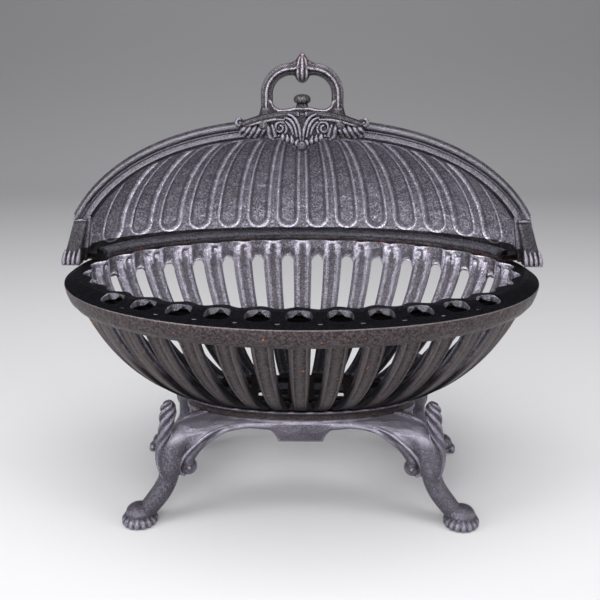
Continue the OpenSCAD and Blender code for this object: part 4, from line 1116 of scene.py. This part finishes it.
# Very dark iron whose proud edges are far lighter: rubbed black lead with a strong painted
# highlight
trim_iron = grained_iron("trim_iron", (0.027, 0.025, 0.030), 0.26, bright=7.5, coarse=0.7)
paw_z, screw_z = rim_z + 0.3, rim_z + paw_h * 0.42
paw_parts = [skin([paw_ring(x, w, -0.3, front, z) for x, w, front, z in (
    (231.2, 9.2, -17.4, -6.0), (231.2, 9.4, -17.8, -2.0), (230.8, 9.3, -17.4, 3.0),
    (230.1, 8.6, -15.6, 8.5), (228.4, 7.8, -14.4, 17.0), (226.4, 7.3, -12.6, 27.0),
    (224.6, 6.9, -10.6, 36.0), (223.6, 6.6, -9.3, 40.6), (223.3, 6.0, -8.2, 42.8),
    (223.2, 4.6, -6.6, 43.5))])]
for i in range(4):
    x = 224.2 + 4.7 * i
    paw_parts.append(tube(bent([(x, -17.2, -4.5, 2.2), (x, -18.2, -0.8, 2.5),
                                (x - 0.2, -17.6, 3.6, 2.3), (x - 0.6, -15.2, 8.4, 1.6),
                                (x - 1.0, -14.0, 12.0, 0.6)], 18, paw_z), 12))
paw_parts.append(tube(bent([(217.6, -7.4, 40.2, 1.2), (223.4, -9.6, 40.9, 1.5),
                            (229.0, -7.4, 40.2, 1.2)], 12, paw_z), 12))
right_paw = trimmed(cast("paw_casting_right", paw_parts, 0.5, 3), (0, 0, paw_z), (0, 0, -1))
right_paw = carved(right_paw, [raw_object("screw_bore",
                                          [level_bar(231, screw_z, 2.8, (22.7, 60), 24)])])
coat(right_paw, trim_iron, 0.22, 4)
left_paw = mirrored(right_paw, "paw_casting_left", 0)
for piece, node in ((left_paw, "hood_paw_left"), (right_paw, "hood_paw_right")):
    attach(piece, "hood")
    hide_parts(node)


# ---- Leaf crest: a cast acanthus spray over the crown of the arch, held by two rivets. Two
# leaves curl over from the drop in the middle, and plain ones run out to knobbed tips.
crest_outline = [(0, 15), (9, 16.5), (17, 17.5), (26, 16), (36, 14.5), (46, 12.5), (55, 9.5),
                 (60, 10.5), (64, 10), (65.5, 6), (63, 1), (60.5, -1.5), (59, -7), (52, -9.5),
                 (45, -9.5), (38, -7), (33, -10.5), (28, -10.5), (23, -8.5), (17, -12),
                 (11, -15), (6, -20), (0, -22)]
outline = crest_outline + [(-x, z) for x, z in crest_outline[-2:0:-1]]
crest_parts = [skin([at_mouth([(x * s, y, z * s) for x, z in outline], crown_z)
                     for y, s in ((-5.3, 0.99), (-6.0, 1.0), (-8.8, 1.0), (-9.8, 0.975))])]


def spray(path, count=24, sides=12):
    """The same bar on both sides of the crest."""
    for side in (-1, 1):
        crest_parts.append(tube(bent([(side * x, y, z, r) for x, y, z, r in path], count,
                                     crown_z), sides))


spray([(3, -8.6, 14, 3.0), (18, -8.6, 13.6, 4.2), (34, -8.2, 10.8, 4.6),
       (48, -8.6, 7.4, 3.8), (58, -10.0, 4.6, 2.6), (62.5, -11.5, 5.4, 2.2)])
spray([(17, -12.4, 8.5, 1.2), (28, -13.0, 8.4, 1.5), (38, -12.6, 6.6, 1.5),
       (49, -12.0, 4.0, 1.3), (58, -11.6, 1.0, 1.2), (61, -11.6, 0.8, 1.0)])
spray([(61.5, -11.0, 2.6, 2.6), (64.6, -11.6, 5.4, 2.4), (63.4, -11.6, 8.8, 2.0),
       (60.6, -11.2, 9.4, 1.5)])
for i, (top, low) in enumerate([((33, 5.2), (41.5, -7.0)), ((38.5, 4.8), (47.5, -8.8)),
                                ((44, 4.0), (53.5, -9.0)), ((49.5, 2.8), (58.6, -7.6)),
                                ((55, 1.2), (61.4, -3.8))]):
    spray([(top[0], -10.4, top[1], 1.0),
           ((top[0] + low[0]) / 2 - 0.8, -12.9, (top[1] + low[1]) / 2 + 0.6, 2.5),
           (low[0], -10.2, low[1], 2.2)], 14)
spray([(35.5, -10.4, 5.0, 1.6), (33.2, -12.8, -0.4, 2.6), (31.6, -12.4, -7.4, 2.8),
       (27.6, -11.4, -10.6, 2.4)])
spray([(29.8, -11.6, 4.0, 1.6), (27.6, -12.8, -2.2, 2.4), (26.4, -12.2, -8.4, 2.6)])
turns = np.linspace(0.4, 3.3 * math.pi, 30)
spray([(21.6 + (1.4 + 0.62 * t) * math.cos(t + 0.9) * 0.92, -11.6 - 2.6 * (1 - t / 11),
        0.6 + (1.4 + 0.62 * t) * math.sin(t + 0.9), 1.55) for t in turns], 60)
spray([(21.6, -12.0, 0.6, 2.6), (21.6, -13.8, 0.6, 1.8)], 6)
for x, z in ((18.4, -11.8), (13.8, -13.8), (9.4, -15.2)):
    spray([(x + 1.2, -11.0, z + 8.5, 1.2), (x + 0.4, -13.2, z + 3.2, 2.5),
           (x, -11.2, z, 2.4)], 12)
spray([(0.9, -12.6, -11.5, 1.5), (2.2, -13.8, -2.0, 1.7), (4.4, -13.6, 5.6, 1.7),
       (8.6, -12.6, 11.4, 1.5), (14.0, -11.6, 14.0, 1.2), (18.4, -10.8, 14.8, 0.8)])
spray([(4.6, -12.4, -8.5, 1.2), (6.2, -13.2, -1.0, 1.5), (8.4, -13.2, 4.6, 1.5),
       (12.2, -12.4, 9.0, 1.3), (17.4, -11.6, 10.8, 1.0)])
spray([(8.6, -12.0, -6.0, 1.2), (10.2, -13.0, -0.6, 1.5), (12.8, -13.0, 3.6, 1.4),
       (16.6, -12.4, 6.8, 1.1)])
crest_parts.append(ball(at_mouth([(0, -12.0, -17.4)], crown_z)[0], (5.6, 3.6, 5.2)))
spray([(3.6, -11.4, -11.6, 2.0), (5.4, -12.6, -14.4, 2.4), (4.2, -12.0, -17.6, 1.8)], 10)
crest = cast("leaf_crest_casting", crest_parts, 0.5, 3)
rivet_x, rivet_z = 38, 3


def rivet_shapes(name, radius, ends, sides):
    """Cutters where the two rivets and their heads go."""
    bars = [level_bar(side * rivet_x, rivet_z, radius, ends, sides) for side in (-1, 1)]
    return raw_object(name, [(at_mouth(points, crown_z), faces) for points, faces in bars])


crest = carved(crest, [rivet_shapes("rivet_bores", 2.8, (-18, 0), 24),
                       rivet_shapes("rivet_spots", 4.5, (-18, -14.2), 32)])
coat(crest, trim_iron, 0.26, 4)
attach(crest, "hood")
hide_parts("leaf_crest")


# ---- Handle: a cast stirrup with a fluted knop in the middle of its bow, on a long foot. A
# stud with a mushroom head goes down through it and the crown, with a washer and nut below.
handle_z, handle_half = pad_top, 35.8
bow = [(handle_half, 1.0), (handle_half, 14.0), (handle_half, 26.8)]
bow += [(10.8 + 25 * math.cos(a), 27.0 + 25 * math.sin(a))
        for a in np.radians(np.arange(7.5, 83, 7.5))]
bow += [(8.4, 52.4), (4.5, 53.6), (0, 53.8)]
bow = bow + [(-x, z) for x, z in bow[-2::-1]]
bow = np.array(smooth_path([(x, 0, z, 1) for x, z in bow], 150))[:, [0, 2]]
tangents = np.gradient(bow, axis=0)
tangents /= np.linalg.norm(tangents, axis=1)[:, None]
bow_section = [(-6.2, 0.0), (-5.7, 3.0), (-4.2, 4.4), (-2.2, 5.0), (-1.2, 6.0), (-0.2, 6.3),
               (0.9, 5.7), (1.8, 4.6), (3.2, 4.3), (4.6, 3.8), (5.7, 2.4), (6.2, 0.0)]
bow_section += [(a, -b) for a, b in bow_section[-2:0:-1]]
bow_rings = []
for (x, z), (tx, tz) in zip(bow, tangents):
    out_x, out_z = -tz, tx
    if x * out_x < 0 or (abs(x) < 20 and out_z < 0):
        out_x, out_z = -out_x, -out_z
    spread = 1 + 0.35 * max(0, (12 - z) / 12) ** 1.5
    near = max(0, 1 - abs(x) / 13)
    bow_rings.append([(x - out_x * a * spread * (1 + 0.45 * near ** 1.4),
                       crown_y - b * (1 + 0.30 * near),
                       handle_z + z - out_z * a * spread * (1 + 0.45 * near ** 1.4))
                      for a, b in bow_section])
handle_parts = [skin(bow_rings)]
foot_shape = [(39 * np.sign(round(math.cos(t), 9)) + 9.8 * math.cos(t), 9.8 * math.sin(t))
              for t in full_turn(48)]
handle_parts.append(skin([[(x * s, crown_y + y * t, handle_z + z) for x, y in foot_shape]
                          for z, s, t in ((0.0, 1, 1), (3.6, 1, 1), (5.4, 0.985, 0.93),
                                          (6.2, 0.95, 0.80))]))
bridge = [(7.4, 15.0), (12, 13.6), (19, 12.6), (23.5, 12.8), (27.0, 14.4), (29.4, 17.4),
          (30.6, 21.5), (34, 24), (34, 4)]
bridge += [(-x, z) for x, z in bridge[::-1]]
handle_parts.append(skin([[(x, crown_y + y, handle_z + 5 + (z - 5) * s) for x, z in bridge]
                          for y, s in ((5.6, 0.9), (4.4, 1), (-4.4, 1), (-5.6, 0.9))]))
for side in (-1, 1):
    handle_parts.append(tube([(side * handle_half, crown_y, handle_z + z, r)
                              for z, r in ((4.5, 9.2), (6.5, 8.7), (9.5, 7.6), (14, 6.4))], 32))
knop = [(0.8, 68.0), (2.2, 67.0), (3.4, 65.0), (4.6, 62.4), (6.0, 60.0), (7.2, 57.0),
        (7.7, 53.0), (7.7, 48.6), (7.1, 45.0), (5.8, 41.8), (3.6, 39.4), (1.0, 38.2)]
handle_parts.append(upright(0, crown_y, [(r, handle_z + z) for r, z in knop], 40))
flute_line = smooth_path([(1.8, 65.4, 0.9), (5.2, 61.0, 1.4), (7.0, 54.0, 1.9), (6.6, 46.0, 1.8),
                          (3.2, 40.6, 1.2)], 18)   # reach, height and radius
for turn in range(0, 360, 36):
    c, s = math.sin(math.radians(turn)), -math.cos(math.radians(turn))
    handle_parts.append(tube([(r * c, crown_y + r * s, handle_z + z, w)
                              for r, z, w in flute_line], 10))
handle = carved(cast("handle_casting", handle_parts, 0.55, 2), [
    raw_object(name, [upright(0, crown_y, [(radius, handle_z + low), (radius, handle_z + 30)])])
    for name, radius, low in (("stud_bore", 3.3, -3), ("stud_seat", 9.0, 14.5))])


def handle_finish(tree, place, colour, roughness):
    """A little rust where the knop has lost its black."""
    bare = tree.axis(place, "Z").step(0.431, 0.441) * tree.noise(place, 240, 2.0).step(0.38, 0.6)
    return tree.blend(bare * 0.7, colour, (0.075, 0.030, 0.022, 1)), roughness + 0.1 * bare, leaded


# Very dark iron whose proud edges are far lighter: rubbed black lead with a strong painted
# highlight
handle_iron = grained_iron("handle_iron", (0.042, 0.038, 0.044), 0.25, bright=7.0, coarse=0.6,
                           finish=handle_finish)
coat(handle, handle_iron, 0.24, 4)
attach(handle, "hood")
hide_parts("handle")
stud_iron = grained_iron("stud_iron", (0.075, 0.070, 0.078), 0.26, wear_and_sheen=False)
stud_z = handle_z + 14.9
stud_rows = [(2.6, crown_z - 18.6), (3.0, crown_z - 18.2)] + [(r, stud_z + z) for r, z in (
    (3.0, -0.6), (6.2, -0.4), (6.3, 0.6), (5.9, 1.6), (5.7, 3.2), (6.4, 4.0), (7.8, 4.5),
    (8.5, 5.6), (8.7, 7.2), (8.4, 9.0), (7.4, 10.6), (5.2, 12.0), (2.6, 12.6), (0.6, 12.7))]
stud = raw_object("handle_stud_turned", [upright(0, crown_y, stud_rows, 48)])
coat(stud, stud_iron, sharp=50)
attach(stud, "hood")
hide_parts("handle_stud")
dressed("crest_rivets", stud_iron)
for node in ("paw_screws", "handle_washer", "handle_nut"):
    dressed(node, steel)
